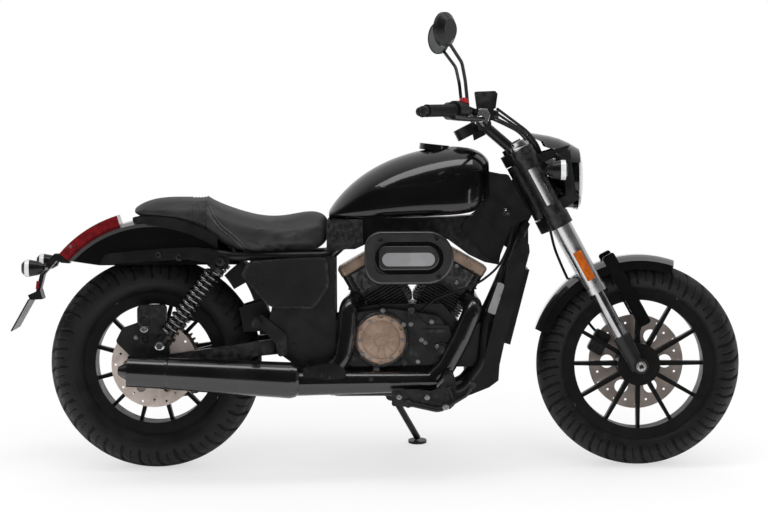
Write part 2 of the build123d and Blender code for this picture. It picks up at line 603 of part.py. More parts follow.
# ------------------------------------------------------------------ engine
case = slab(
    [(-178, 300), (-190, 420), (-150, 470), (-40, 486), (130, 486), (182, 430), (190, 330), (150, 262),
     (-130, 262)],
    -CASE_HALF, CASE_HALF - 36, 14,
)
case_left = slab([(-70, 280), (-80, 470), (150, 470), (178, 400), (172, 300)], CASE_HALF - 37, CASE_HALF,
                 14)
right_cover = slab(
    [(-140, 306), (-170, 380), (-130, 462), (-20, 474), (120, 452), (172, 380), (160, 312)],
    -CASE_HALF - 32, -CASE_HALF + 1, 22,
)
left_cover = cross(56, 368, CASE_HALF - 1, CASE_HALF + 44, 86)
mount_front = slab([(150, 300), (256, 300), (268, 360), (270, 425), (216, 425), (150, 400)], 88, 104, 8)
mount_rear = block(-236, -60, 100, 118, 266, 282)
RIGHT_FACE = -CASE_HALF - 32
CLUTCH_C, CLUTCH_R = (-47.0, 385.0), 72.0
clutch_rim = spun([(CLUTCH_R + 0.3, RIGHT_FACE + 4), (CLUTCH_R + 9, RIGHT_FACE + 4),
                   (CLUTCH_R + 9, RIGHT_FACE - 6),
                   (CLUTCH_R + 6, RIGHT_FACE - 9), (CLUTCH_R + 0.3, RIGHT_FACE - 9)], CLUTCH_C)
cam_plate = slab([(30, 470), (60, 454), (84, 428), (150, 424), (158, 384), (94, 352), (78, 336),
                  (36, 336)],
                 RIGHT_FACE - 6, RIGHT_FACE + 1, 7)
water_pump = fused(
    cross(128, 356, RIGHT_FACE - 14, RIGHT_FACE + 1, 20),
    cross(128, 356, RIGHT_FACE - 22, RIGHT_FACE - 14, 12),
    slab([(70, 404), (140, 404), (140, 414), (70, 414)], RIGHT_FACE - 12, RIGHT_FACE - 5, 4),
)
# screws' bosses round the right cover: x, z
COVER_BOSSES = [(-128, 330), (-146, 400), (-110, 452), (-41, 466), (41, 468), (100, 436), (116, 320),
                (20, 318), (-60, 300)]
bosses = [cross(x, z, RIGHT_FACE - 4, RIGHT_FACE + 1, 10) for x, z in COVER_BOSSES]
ignition_cover = cross(56, 368, CASE_HALF + 43, CASE_HALF + 50, 60)
left_bosses = [cross(*polar((56, 368), 76, 30 + 60 * k), CASE_HALF + 43, CASE_HALF + 48, 8)
               for k in range(6)]
engine_case = fused(
    case, case_left, right_cover, left_cover, clutch_rim, cam_plate, *water_pump, *bosses, ignition_cover,
    *left_bosses, *both(mount_front, mount_rear),
)
node("crankcase", cut(engine_case, *frame))

# the cylinders, measured outward from the crankshaft
BARREL_LOW, BARREL_HIGH, HEAD_HIGH, COVER_HIGH = 112.0, 196.0, 276.0, 306.0
FINS, FIN_T = 9, 4.0
HEAD_CORNER, HEAD_EDGE = 14.0, 8.0


def on_crank(shape, tilt):
    """A shape made over the origin, leaned by tilt and set on the crankshaft."""
    return shape.rotate(Axis((0, 0, 0), (0, 1, 0)), tilt).translate(Vector(CRANK[0], 0, CRANK[1]))


def rounded_block(half_x, half_y, low, high, corner):
    """A block over the origin with rounded upright corners."""
    shape = block(-half_x, half_x, -half_y, half_y, low, high)
    return shape.fillet(corner, shape.edges().filter_by(Axis.Z))


def cylinder(tilt):
    """A finned barrel and its head, leaned by tilt from the vertical."""
    stack = [rounded_block(54, 62, BARREL_LOW, BARREL_HIGH, HEAD_CORNER)]
    pitch = (BARREL_HIGH - BARREL_LOW - 8) / FINS
    for index in range(FINS):
        low = BARREL_LOW + 8 + index * pitch
        stack.append(rounded_block(76, 80, low, low + FIN_T, 24))
    stack.append(rounded_block(76, 82, BARREL_HIGH, HEAD_HIGH, HEAD_CORNER))
    for index in range(4):
        low = BARREL_HIGH + 8 + index * 10
        stack.append(rounded_block(80, 86, low, low + FIN_T, 20))
    side_plate = rounded_block(58, 91, BARREL_HIGH + 14, HEAD_HIGH - 6, HEAD_CORNER)
    return [on_crank(piece, tilt) for piece in fused(*stack, side_plate)]


def head_cover(tilt):
    """The rounded cover on a cylinder's head."""
    cover = rounded_block(78, 77, HEAD_HIGH, COVER_HIGH, HEAD_CORNER)
    cover = cover.fillet(HEAD_EDGE, cover.edges().group_by(Axis.Z)[-1])
    return on_crank(cover, tilt)


barrels = []
covers = []
half_space = {1: block(CRANK[0] + 1, 600, -300, 300, 0, 900),
              -1: block(-600, CRANK[0] - 1, -300, 300, 0, 900)}
for side in (1, -1):
    barrel = cut(common(cylinder(side * VEE), half_space[side]), *engine_case, *frame)
    barrels.append(max(barrel, key=lambda piece: piece.volume))
    covers += common([head_cover(side * VEE)], half_space[side])
node("cylinders", barrels)
clutch_turned = spun(
    [(0, RIGHT_FACE), (CLUTCH_R, RIGHT_FACE), (CLUTCH_R, RIGHT_FACE - 12), (CLUTCH_R - 5, RIGHT_FACE - 18),
     (CLUTCH_R - 16, RIGHT_FACE - 18), (CLUTCH_R - 19, RIGHT_FACE - 14), (20, RIGHT_FACE - 15),
     (19, RIGHT_FACE - 13), (0, RIGHT_FACE - 13)],
    CLUTCH_C,
)
clutch_notches = [cross(*polar(CLUTCH_C, CLUTCH_R - 1, 30 + 60 * k), RIGHT_FACE - 20, RIGHT_FACE - 7, 9)
                  for k in range(6)]
clutch = cut([clutch_turned], *clutch_notches, *engine_case)
node("engine_covers", cut(covers, *frame), clutch)

AIR_C, AIR_Y0, AIR_Y1 = (36.0, 622.0), -128.0, -184.0
AIR_HALF = 77.0               # half height of the air cleaner, and the radius of its front end


def air_shape(inset, y0, y1, corner):
    """The air cleaner's outline, drawn in by inset: square behind with round corners, round in front."""
    half = AIR_HALF - inset
    back, front = AIR_C[0] - 129 + inset, AIR_C[0] + 129 - inset - half
    low, high = AIR_C[1] - half, AIR_C[1] + half
    outline = Wire([
        Edge.make_line((back + corner, y0, low), (front, y0, low)),
        Edge.make_three_point_arc((front, y0, low), (front + half, y0, AIR_C[1]), (front, y0, high)),
        Edge.make_line((front, y0, high), (back + corner, y0, high)),
        Edge.make_three_point_arc((back + corner, y0, high),
                                  (back + corner * 0.293, y0, high - corner * 0.293),
                                  (back, y0, high - corner)),
        Edge.make_line((back, y0, high - corner), (back, y0, low + corner)),
        Edge.make_three_point_arc((back, y0, low + corner),
                                  (back + corner * 0.293, y0, low + corner * 0.293),
                                  (back + corner, y0, low)),
    ])
    return Solid.extrude(Face(outline), Vector(0, y1 - y0, 0))


air_body = air_shape(0, AIR_Y1 + 10, AIR_Y0, 50)
air_face = air_shape(0, AIR_Y1, AIR_Y1 + 10, 50)
air_face = air_face.fillet(8, air_face.edges().group_by(Axis.Y)[0])
air_recess = air_shape(30, AIR_Y1 - 1, AIR_Y1 + 9, 26)
air_boss = air_shape(42, AIR_Y1 - 2, AIR_Y1 + 10, 16)
air_boss = air_boss.fillet(4, air_boss.edges().group_by(Axis.Y)[0])
air_duct = block(6, 86, AIR_Y0, -30, 556, 652)
air = cut(fused(air_body, cut([air_face], air_recess), air_boss, air_duct), *barrels, *covers, *frame)
node("air_cleaner", air)

# ------------------------------------------------------------------ radiator
RAD_HALF, RAD_T = 98.0, 30.0
rad_low, rad_high = (300.0, 372.0), (366.0, 590.0)
shroud_outline = [(366, 684), (384, 657), (386, 636), (369, 572), (340, 471), (311, 369), (297, 306),
                  (294, 262),
                  (267, 242), (209, 219), (130, 202), (196, 240), (252, 326), (282, 442), (312, 545),
                  (325, 612)]
rad_core = slab(
    [rad_low, (rad_low[0] + RAD_T, rad_low[1] - 9), (rad_high[0] + RAD_T * 0.7, rad_high[1] - 9),
     (rad_high[0] - 9, rad_high[1])],
    -RAD_HALF, RAD_HALF,
)
shroud = slab(shroud_outline, RAD_HALF + 24, RAD_HALF + 36, 3)
shroud_lip = slab([(294, 262), (300, 330), (288, 330), (270, 262), (200, 226), (209, 219), (267, 242)],
                  -RAD_HALF - 24, RAD_HALF + 24)
lug_low = block(262, 322, 88, 104, 420, 440)
lug_high = block(318, 358, 58, 74, 566, 582)
COOLANT_HOSE = [(340, -66, 556), (292, -62, 530), (262, -62, 470), (224, -72, 420), (174, -76, 394)]
coolant_hose = tube_run(COOLANT_HOSE, 13, [30, 60, 50])
radiator = fused(rad_core, *both(lug_low, lug_high), *coolant_hose)
node("radiator", cut(radiator, *frame, *NODES["crankcase"], *barrels))
shroud_all = cut(fused(*both(shroud), shroud_lip), *frame, *NODES["radiator"])
node("radiator_shroud", shroud_all)
regulator = slab([(262, 462), (294, 549), (312, 542), (284, 454)], RAD_HALF + 36, RAD_HALF + 52,
                 5).mirror(Plane.XZ)
node("regulator", regulator)

# ------------------------------------------------------------------ tank and seat
def section(x, half, low, side_low, side_high, top, flat=0.72):
    """A closed tank or cushion section at x: flat below, round sides and crown."""
    mid, under = (side_low + side_high) / 2, half * flat

    def side_arcs(sign):
        lower = [(x, sign * under, low), (x, sign * (half * 0.93 + under * 0.04),
                                          (low + side_low) / 2 - 2),
                 (x, sign * half, side_low)]
        upper = [(x, sign * half, side_low), (x, sign * half * 0.985, mid),
                 (x, sign * half * 0.90, side_high)]
        return [Edge.make_three_point_arc(*lower), Edge.make_three_point_arc(*upper)]

    bottom = Edge.make_line((x, -under, low), (x, under, low))
    crown = Edge.make_three_point_arc((x, half * 0.90, side_high), (x, 0, top),
                                      (x, -half * 0.90, side_high))
    return Wire([bottom, *side_arcs(1), crown, *side_arcs(-1)])


TANK_LOW = 736.0
TANK_HEIGHT = BAR_CENTRE[1] - 67 - TANK_LOW   # its top lies that far under the handlebar's middle
# columns: x, half width, then heights as shares of the tank's height: underside, lower shoulder,
# upper shoulder, top
TANK = [
    (-197, 58, 0.00, 0.02, 0.06, 0.10),
    (-120, 104, -0.01, 0.08, 0.28, 0.52),
    (0, 134, 0.005, 0.15, 0.46, 0.85),
    (140, 146, 0.03, 0.20, 0.54, 1.00),
    (225, 116, 0.08, 0.235, 0.64, 0.97),
    (272, 62, 0.235, 0.34, 0.65, 0.80),
]
tank_rows = [(x, half, *[TANK_LOW + share * TANK_HEIGHT for share in shares]) for x, half, *shares in TANK]
tank = Solid.make_loft([section(*row) for row in tank_rows])
node("fuel_tank", cut([tank], *frame, *air))
CAP_X, CAP_R = 112.0, 44.0
TANK_PEAK = TANK_LOW + TANK_HEIGHT
cap = rod((CAP_X, 0, TANK_PEAK - 10), (CAP_X + 2, 0, TANK_PEAK + 8), CAP_R)
node("filler_cap", cut([cap], tank))
SEAT_GAP = 5.0                # seat base above the rear fender
# rows from front to back, heights above the seat's base there;
# columns: x, half width, underside, lower shoulder, upper shoulder, top
SEAT = [
    (-199, 66, 32, 40, 60, 82),
    (-232, 104, 5, 32, 76, 113),
    (-330, 138, 0, 28, 68, 98),
    (-430, 148, 0, 36, 82, 105),
    (-500, 142, 0, 26, 76, 102),
    (-556, 126, 0, 16, 68, 95),
]
PILLION = [
    (-556, 122, 0, 16, 66, 91),
    (-650, 110, 0, 8, 34, 59),
    (-730, 92, 0, 8, 22, 43),
    (-774, 58, 8, 12, 16, 24),
]
SEAT_FLAT = 0.86


def seat_base(x):
    """Height of the seat's base: on the rails in front, above the fender behind."""
    reach = FENDER_R**2 - (x - FENDER_C[0])**2
    return max(SEAT_LOW, FENDER_C[1] + math.sqrt(max(reach, 0)) + SEAT_GAP)


cushions = []
for table in (SEAT, PILLION):
    rows = [(x, half, *[seat_base(x) + height for height in heights]) for x, half, *heights in table]
    cushions.append(Solid.make_loft([section(*row, SEAT_FLAT) for row in rows]))
under_seat = block(-480, -190, -170, 170, SEAT_LOW - 80, SEAT_LOW)
seat = cut(fused(*cushions), under_seat)


# ------------------------------------------------------------------ rear fender
def whole_section(half_section):
    """A fender's section from one lower edge over the crown to the other: radius, y."""
    return half_section + [(r, -y) for r, y in reversed(half_section[:-1])]


outside = whole_section([
    (FENDER_R - 175, FENDER_HALF + 2), (FENDER_R - 22, FENDER_HALF), (FENDER_R - 12, FENDER_HALF - 12),
    (FENDER_R - 3, FENDER_HALF / 2), (FENDER_R, 0),
])
inside = whole_section([
    (FENDER_R - 176, FENDER_HALF + 2 - SHEET), (FENDER_R - 22 - SHEET, FENDER_HALF - SHEET),
    (FENDER_R - 12 - SHEET, FENDER_HALF - 12 - SHEET), (FENDER_R - 3 - SHEET, FENDER_HALF / 2),
    (FENDER_R - SHEET, 0),
])
fender = cut(spun(outside, FENDER_C, 25, 117), spun(inside, FENDER_C, 15, 137))
low_edge = slab([(-1000, 560), (-840, 598), (-960, 616), (-1000, 600)], -150, 150)
fender = cut(fender, block(-1100, -300, -150, 150, 300, 602), low_edge)
GUARD_TOP = 40.0              # degrees round the wheel where the inner guard meets the fender
rear_guard = cut(
    spun([(FENDER_R - 30, -70), (FENDER_R, -70), (FENDER_R, 70), (FENDER_R - 30, 70)], FENDER_C, 0,
         GUARD_TOP),
    spun([(FENDER_R - 31, -66), (FENDER_R - 4, -66), (FENDER_R - 4, 66), (FENDER_R - 31, 66)], FENDER_C,
         -2, GUARD_TOP + 4),
)
# deeper sides of the guard, beside the tyre: inner radius, first angle, last angle
GUARD_SIDES = [(262.0, 2.0, 17.5), (272.0, 29.5, GUARD_TOP)]
guard_sides = [
    spun([(inner, 80), (FENDER_R - 1, 80), (FENDER_R - 1, 84), (inner, 84)], FENDER_C, first,
         last - first)
    for inner, first, last in GUARD_SIDES
]
guard_webs = [
    spun([(FENDER_R - 30, 66), (FENDER_R - 1, 66), (FENDER_R - 1, 84), (FENDER_R - 30, 84)], FENDER_C,
         first, last - first)
    for inner, first, last in GUARD_SIDES
]
node("seat", cut(seat, *NODES["fuel_tank"]))
fender = cut(fender, *frame)
node("rear_fender", fender)
node("mudguard", cut(fused(*rear_guard, *both(*guard_sides, *guard_webs)), *frame, *fender))
LAMP_HALF = 52.0
tail_lamp = cut(
    spun([(FENDER_R - 6, -LAMP_HALF), (FENDER_R + 26, -LAMP_HALF + 6), (FENDER_R + 26, LAMP_HALF - 6),
          (FENDER_R - 6, LAMP_HALF)],
         FENDER_C, 107, 32),
    spun(outside, FENDER_C, 100, 50),
)
node("tail_lamp", max(tail_lamp, key=lambda piece: piece.volume))

strut_side = slab(
    [(-862, 606), (-852, 630), (-834, 638), (-776, 644), (-689, 651), (-631, 655), (-573, 656),
     (-544, 651), (-509, 640),
     (-486, 629), (-481, 615), (-489, 596), (-504, 592), (-530, 606), (-544, 611), (-602, 621),
     (-660, 619), (-747, 612)],
    90, 190,
)
strut_plan = plan([(-480, 161), (-480, 181), (-620, 172), (-760, 140), (-866, 116),
                   (-866, FENDER_HALF + 2), (-760, 116),
                   (-620, 150), (-560, 161)], 560, 700)
strut_body = common([strut_side], strut_plan)
LUGGAGE_XZ, LUGGAGE_Y, THREAD_R, THREAD_DEPTH, BOSS_R = (-690.0, 634.0), 164.0, 3.4, 14.0, 9.0
strut_pads = [cross(-740, 628, FENDER_HALF, 128, 12), cross(-625, 637, FENDER_HALF, 160, 9)]
boss_space = cross(*LUGGAGE_XZ, LUGGAGE_Y - THREAD_DEPTH - 2, LUGGAGE_Y + 1, BOSS_R)
luggage_hole = cross(*LUGGAGE_XZ, LUGGAGE_Y - THREAD_DEPTH, LUGGAGE_Y + 1, THREAD_R)
luggage_boss = cross(*LUGGAGE_XZ, LUGGAGE_Y - THREAD_DEPTH - 2, LUGGAGE_Y, BOSS_R)
node("luggage_bosses", both(cut([luggage_boss], luggage_hole)))
SHOCK_EYE_HALF, SHOCK_EYE_R, SHOCK_BOLT_R, SHOCK_BOLT_OUT = 18.0, 15.0, 7.0, 187.0
shock_space = rod((SHOCK_LOW[0], SHOCK_Y, SHOCK_LOW[1]), (SHOCK_TOP[0], SHOCK_Y, SHOCK_TOP[1]), 29)
eye_space = cross(*SHOCK_TOP, 130, SHOCK_Y + SHOCK_EYE_HALF, SHOCK_EYE_R + 1)
shock_bolt = fused(
    cross(*SHOCK_TOP, FRAME_HALF, SHOCK_BOLT_OUT, SHOCK_BOLT_R),
    cross(*SHOCK_TOP, SHOCK_BOLT_OUT - 8, SHOCK_BOLT_OUT, SHOCK_BOLT_R + 6),
)
strut_body = cut(fused(*strut_body, *strut_pads), boss_space, *fender, shock_space, eye_space)
node("fender_struts", cut(both(fused(*strut_body, *shock_bolt)), *frame))

# ------------------------------------------------------------------ rear suspension
arm_side = slab(
    [(-282, 345), (-282, 386), (-330, 388), (-420, 378), (-621, 350), (-700, 338), (-742, 332),
     (-742, 290), (-700, 286),
     (-600, 312), (-420, 336), (-330, 342)],
    60, 160, 6,
)
arm_plan = plan([(-270, 84), (-270, 112), (-340, 112), (-420, 140), (-760, 140), (-760, 112),
                 (-440, 112), (-360, 84)], 200, 500)
arm = common([arm_side], arm_plan)
shock_lug = slab([(-700, 330), (-712, 372), (-700, 392), (-674, 392), (-662, 372), (-660, 336)], 116,
                 132, 8)
shock_pin = cross(*SHOCK_LOW, 130, 172, 8)
pivot_tube = cut([cross(*PIVOT, -112, 112, 22)], cross(*PIVOT, -120, 120, 8))
swingarm = cut(
    fused(*both(*arm, shock_lug, shock_pin), *pivot_tube),
    cross(*PIVOT, -140, 140, 8),
    cross(*REAR_AXLE, -160, 160, REAR_AXLE_R),
)
node("swingarm", swingarm)
node(
    "rear_axle",
    fused(cross(*REAR_AXLE, -140, 140, REAR_AXLE_R), cross(*REAR_AXLE, -147, -140, 17),
          cross(*REAR_AXLE, 140, 150, 17)),
    cut([cross(*REAR_AXLE, -112, -REAR_HUB_HALF - DISC_T - 1, 16)],
        cross(*REAR_AXLE, -120, -80, REAR_AXLE_R)),
    cut([cross(*REAR_AXLE, CHAIN_Y + SPROCKET_T / 2 + 1, 112, 16)],
        cross(*REAR_AXLE, 90, 120, REAR_AXLE_R)),
)


PLATE_LOW, PLATE_HIGH = 0.13, 0.89    # the spring's plates, as shares of the shock's length


def shock():
    """One shock absorber between its two eyes, with its coil spring."""
    top, low = (SHOCK_TOP[0], SHOCK_Y, SHOCK_TOP[1]), (SHOCK_LOW[0], SHOCK_Y, SHOCK_LOW[1])
    eyes = [cross(*end, SHOCK_Y - SHOCK_EYE_HALF, SHOCK_Y + SHOCK_EYE_HALF, SHOCK_EYE_R)
            for end in (SHOCK_TOP, SHOCK_LOW)]
    body = [
        rod(along(low, top, 0.04), along(low, top, 0.50), 17),
        rod(along(low, top, 0.50), along(low, top, 0.90), 8),
        rod(along(low, top, 0.10), along(low, top, PLATE_LOW), 28),
        rod(along(low, top, PLATE_HIGH), along(low, top, 0.93), 28),
        rod(along(low, top, 0.86), along(low, top, 0.98), 14),
    ]
    body = cut(fused(*eyes, *body), cross(*SHOCK_LOW, 120, 180, 8),
               cross(*SHOCK_TOP, 120, 180, SHOCK_BOLT_R))
    coil = []
    half_turns, wire, mean = 26, 4.0, 23.0
    axis = (Vector(*top) - Vector(*low)).normalized()
    side = Vector(0, 1, 0)
    start = Vector(*along(low, top, PLATE_LOW)) + axis * (wire + CLEAR)
    stop = Vector(*along(low, top, PLATE_HIGH)) - axis * (wire + CLEAR)
    rise = (stop - start) / half_turns
    for index in range(half_turns):
        sign = 1 if index % 2 == 0 else -1
        first = start + rise * index + side * (mean * sign)
        last = start + rise * (index + 1) - side * (mean * sign)
        chord = first - last
        normal = chord.cross(axis.cross(side) * sign).normalized()
        half_plane = Plane(origin=(first + last) / 2, x_dir=chord, z_dir=normal)
        coil.append(Solid.make_torus(chord.length / 2, wire, half_plane, 0, 360, 180))
    return body, coil


shock_body, shock_coil = shock()
node("shocks", both(shock_body))
node("shock_springs", both(fused(*shock_coil)))
# rear brake
bracket_plate = slab([(-742, 300), (-820, 380), (-800, 420), (-742, 440), (-680, 430), (-672, 360),
                      (-690, 300)],
                     -112, -103, 10)
caliper_block = slab([(-756, 402), (-756, 486), (-672, 486), (-672, 402)], -118, -REAR_HUB_HALF + 10, 12)
rear_slot = cross(*REAR_AXLE, -REAR_HUB_HALF - DISC_T - 2, -REAR_HUB_HALF + 2, REAR_DISC_R + 3)
rear_caliper = cut(fused(cut([caliper_block], rear_slot), bracket_plate), *swingarm, *NODES["rear_axle"])
rear_caliper = cut(rear_caliper, cross(*REAR_AXLE, -120, -80, 17))
node("rear_caliper", rear_caliper)


# ------------------------------------------------------------------ chain
FRONT_SPROCKET = (-140.0, 380.0)


def chain_loop(offset):
    """The chain's path round both sprockets, moved out by offset, as a face outline."""
    r1, r2 = pitch_radius(FRONT_TEETH) + offset, pitch_radius(REAR_TEETH) + offset
    distance = math.dist(FRONT_SPROCKET, REAR_AXLE)
    slope = math.degrees(math.atan2(REAR_AXLE[1] - FRONT_SPROCKET[1], REAR_AXLE[0] - FRONT_SPROCKET[0]))
    spread = math.degrees(math.acos((r1 - r2) / distance))
    ends = [polar(FRONT_SPROCKET, r1, slope - spread), polar(REAR_AXLE, r2, slope - spread),
            polar(REAR_AXLE, r2, slope + spread), polar(FRONT_SPROCKET, r1, slope + spread)]
    ends = [(x, 0.0, z) for x, z in ends]
    rear_far = polar(REAR_AXLE, r2, slope)
    front_far = polar(FRONT_SPROCKET, r1, slope + 180)
    return Wire([
        Edge.make_line(ends[0], ends[1]),
        Edge.make_three_point_arc(ends[1], (rear_far[0], 0, rear_far[1]), ends[2]),
        Edge.make_line(ends[2], ends[3]),
        Edge.make_three_point_arc(ends[3], (front_far[0], 0, front_far[1]), ends[0]),
    ])


def chain_band(low, high, y0, y1):
    """A band that follows the chain between two offsets."""
    outer = Solid.extrude(Face(chain_loop(high)), Vector(0, y1 - y0, 0)).translate(Vector(0, y0, 0))
    inner = Solid.extrude(Face(chain_loop(low)), Vector(0, y1 - y0 + 2, 0)).translate(Vector(0, y0 - 1,
        0))
    return cut([outer], inner)


chain = fused(
    *chain_band(-7, 7, CHAIN_Y + SPROCKET_T / 2 + 1, CHAIN_Y + SPROCKET_T / 2 + 6),
    *chain_band(-7, 7, CHAIN_Y - SPROCKET_T / 2 - 6, CHAIN_Y - SPROCKET_T / 2 - 1),
    *chain_band(4.6, 7, CHAIN_Y - SPROCKET_T / 2 - 2, CHAIN_Y + SPROCKET_T / 2 + 2),
)
node("chain", chain)
cover = slab([(-200, 330), (-200, 440), (-150, 452), (-72, 440), (-72, 310), (-150, 306)], CHAIN_Y + 12,
             CHAIN_Y + 34, 14)
node("sprocket_cover", cut([cover], *frame, *NODES["crankcase"]))

# ------------------------------------------------------------------ exhaust
FRONT_PIPE = [(206, -50, 502), (222, -150, 474), (184, -160, 386), (140, -166, 306), (98, -168, 264),
              (20, -171, 264)]
front_pipe = tube_run(FRONT_PIPE, 28, [34, 60, 70, 46])
REAR_PIPE = [(-116, -50, 498), (-140, -150, 478), (-147, -160, 400), (-160, -166, 322), (-214, -172, 284),
             (-280, -180, 262)]
rear_pipe = tube_run(REAR_PIPE, 28, [34, 70, 60, 70])
shield = cone((112, -168, 264), (-298, -182, 262), 29, 37)
rear_shield = slab([(-272, 309), (-182, 324), (-150, 304), (-146, 280), (-272, 262)], -212, -170, 10)


def turned_between(a, b, profile):
    """A profile of (distance from a, radius) turned about the line from a to b."""
    a, b = Vector(*a), Vector(*b)
    axis = (b - a).normalized()
    out = axis.cross(Vector(0, 1, 0)).normalized()
    line = Polyline(*[a + axis * run + out * r for run, r in profile], close=True)
    return Solid.revolve(Face(Wire(line.edges())), 360, Axis(a, axis))


MUFFLER_FRONT, MUFFLER_BACK = (-284, -MUFFLER_Y + 6, 270), (-779, -MUFFLER_Y, 301)
MUFFLER_LEN = math.dist(MUFFLER_FRONT, MUFFLER_BACK)
muffler = turned_between(
    MUFFLER_FRONT, MUFFLER_BACK,
    [(0, 0), (0, 41), (8, 48), (24, 52.5), (MUFFLER_LEN - 118, 46.5), (MUFFLER_LEN - 114, 44.5),
     (MUFFLER_LEN - 108, 46), (MUFFLER_LEN, 45), (MUFFLER_LEN, 27), (MUFFLER_LEN + 27, 11),
     (MUFFLER_LEN + 27, 0)],
)
exhaust = fused(*front_pipe, *rear_pipe, shield, rear_shield, muffler)
node("exhaust", cut(exhaust, *barrels, *covers, *engine_case, *clutch, *frame, *NODES["radiator_shroud"],
                    *NODES["radiator"]))

# ------------------------------------------------------------------ side covers
SIDE_COVER = [(-451, 574), (-436, 606), (-422, 613), (-341, 620), (-225, 624), (-202, 622), (-196, 547),
              (-202, 530),
              (-231, 489), (-245, 476), (-355, 478), (-370, 484), (-393, 505)]
COVER_MID, COVER_LIP = (-315.0, 556.0), 0.9
side_cover = slab(SIDE_COVER, PLATE_OUT + 6, PLATE_OUT + 18, 5)
cover_face = slab([along(COVER_MID, point, COVER_LIP) for point in SIDE_COVER], PLATE_OUT + 15,
                  PLATE_OUT + 19, 5)
side_cover = cut([side_cover], cover_face)
tank_skirt = fused(
    slab([(-204, 731), (-98, 731), (-98, 656), (-166, 640), (-204, 642)], 88, 94, 6),
    cross(-146, 690, SPINE_HALF, 89, 8),
)
side_pins = [cross(-268, 600, PLATE_OUT, PLATE_OUT + 8, 8), cross(-262, 500, PLATE_OUT, PLATE_OUT + 8, 8)]
node("side_covers", cut(both(fused(*side_cover, *side_pins), *tank_skirt), *frame, *barrels, *covers,
                        *seat, tank))
BOX_FRONT = SEAT_TUBE[0] - SEAT_TUBE_R - CLEAR
battery_box = slab([(-364, 480), (-364, 520), (-386, 560), (-420, 600), (-420, 612), (BOX_FRONT, 612),
                    (BOX_FRONT, 480)], -98, 98, 6)
node("battery_box", cut([battery_box], *frame, *seat, *fender))
# the corner behind the head stays clear of the upper clamp as it swings
NECK = [(258, 867), fork(UPPER_CLAMP + 12, STEM_AHEAD - 74)[::2], fork(UPPER_CLAMP - 8, STEM_AHEAD - 50)[::2],
        fork(UPPER_CLAMP - 18, STEM_AHEAD - 34)[::2], fork(LOWER_CLAMP + LOWER_CLAMP_T + 22, STEM_AHEAD - 34)[::2],
        (354, 716), (331, 692), (326, 680), (298, 608), (289, 596), (240, 640), (188, 698), (200, 726),
        (236, 750), (252, 800)]
neck = slab(NECK, 50, 58, 5)
neck_pins = [cross(310, 700, 17, 52, 8)]
node("neck_covers", cut(both(fused(neck, *neck_pins)), *frame, tank))

# ------------------------------------------------------------------ tail
tail_arm = slab([(-962, 604), (-985, 606), (-1000, 612), (-1036, 572), (-1050, 520), (-1062, 520),
                 (-1048, 578), (-1008, 632),
                 (-976, 632), (-962, 626)], -24, 24)
PLATE_TOP, PLATE_END, PLATE_T = (-1076.0, 503.0), (-1128.0, 412.0), 4.0
PLATE_BOLTS, PLATE_HOLE_R = 130.0, 3.5
plate_len = math.dist(PLATE_TOP, PLATE_END)
PLATE_NORMAL = ((PLATE_END[1] - PLATE_TOP[1]) / plate_len, 0.0, (PLATE_TOP[0] - PLATE_END[0]) / plate_len)
PLATE_MID = ((PLATE_TOP[0] + PLATE_END[0]) / 2, 0.0, (PLATE_TOP[1] + PLATE_END[1]) / 2)
plate_back = [(x - PLATE_NORMAL[0] * PLATE_T, z - PLATE_NORMAL[2] * PLATE_T)
              for x, z in (PLATE_END, PLATE_TOP)]
plate_carrier = slab([PLATE_TOP, PLATE_END, *plate_back], -95, 95)
plate_holes = []
for side in (-1, 1):
    middle = Vector(*PLATE_MID) + Vector(0, side * PLATE_BOLTS / 2, 0)
    plate_holes.append(rod(tuple(middle - Vector(*PLATE_NORMAL) * 9),
                           tuple(middle + Vector(*PLATE_NORMAL) * 5), PLATE_HOLE_R))
plate_foot = slab([(-1048, 528), (-1040, 500), (-1078, 498), (-1084, 512)], -36, 36)
tail = cut(fused(tail_arm, plate_foot, plate_carrier), *plate_holes, *fender, *NODES["tail_lamp"])
REAR_IND_Y, REAR_IND_Z = 172.0, 599.0
rear_stalk = rod((-1030, 18, 592), (-1040, REAR_IND_Y, REAR_IND_Z), 8)
tail = fused(tail, *both(rear_stalk))
rear_bullet = turned_ahead([(-1014, 0), (-1020, 12), (-1034, 20), (-1062, 25), (-1072, 24), (-1082, 14),
                            (-1084, 0)],
                           REAR_IND_Z, REAR_IND_Y)
node("tail_bracket", cut(tail, *fender, *NODES["tail_lamp"]))
node("rear_indicators", both(cut([rear_bullet], rear_stalk)))

# ------------------------------------------------------------------ feet
PEG_X, PEG_Z = 146.0, 284.0
peg = cross(PEG_X, PEG_Z, 218, 330, 16)
bracket_arm = slab([(150, 188), (-17, 198), (-17, 244), (62, 246), (96, 240), (122, 250), (134, 272),
                    (134, 300),
                    (158, 300), (170, 262), (164, 200)], 206, 220, 7)
bracket_foot = slab([(130, 203), (20, 203), (20, 213), (130, 213)], FRAME_HALF - 4, 208)
bracket_saddle = block(44, 106, CRADLE_HALF - 14, CRADLE_HALF + 14, 203, CRADLE_LOW)
footrest = fused(peg, bracket_arm, bracket_foot, bracket_saddle)
rider_rests = cut(both(footrest), *frame, *NODES["exhaust"])
PEDAL = [(30, 232, 206), (120, 236, 186), (196, 244, 232), (214, 250, 262)]
pillion_arm = slab([(-420, 448), (-392, 458), (-320, 400), (-318, 340), (-345, 335), (-352, 372)],
                   PLATE_OUT, PLATE_OUT + 14, 8)
pillion_peg = cross(-404, 440, PLATE_OUT + 12, 262, 12)
pillion_rests = both(fused(pillion_arm, pillion_peg))
pillion_rests = cut(pillion_rests, *NODES["shocks"], *NODES["exhaust"], *frame, *NODES["side_covers"])
node("footrests", rider_rests, pillion_rests)
pedal_rod = rod((150, 232, 252), (162, 232, 216), 6)
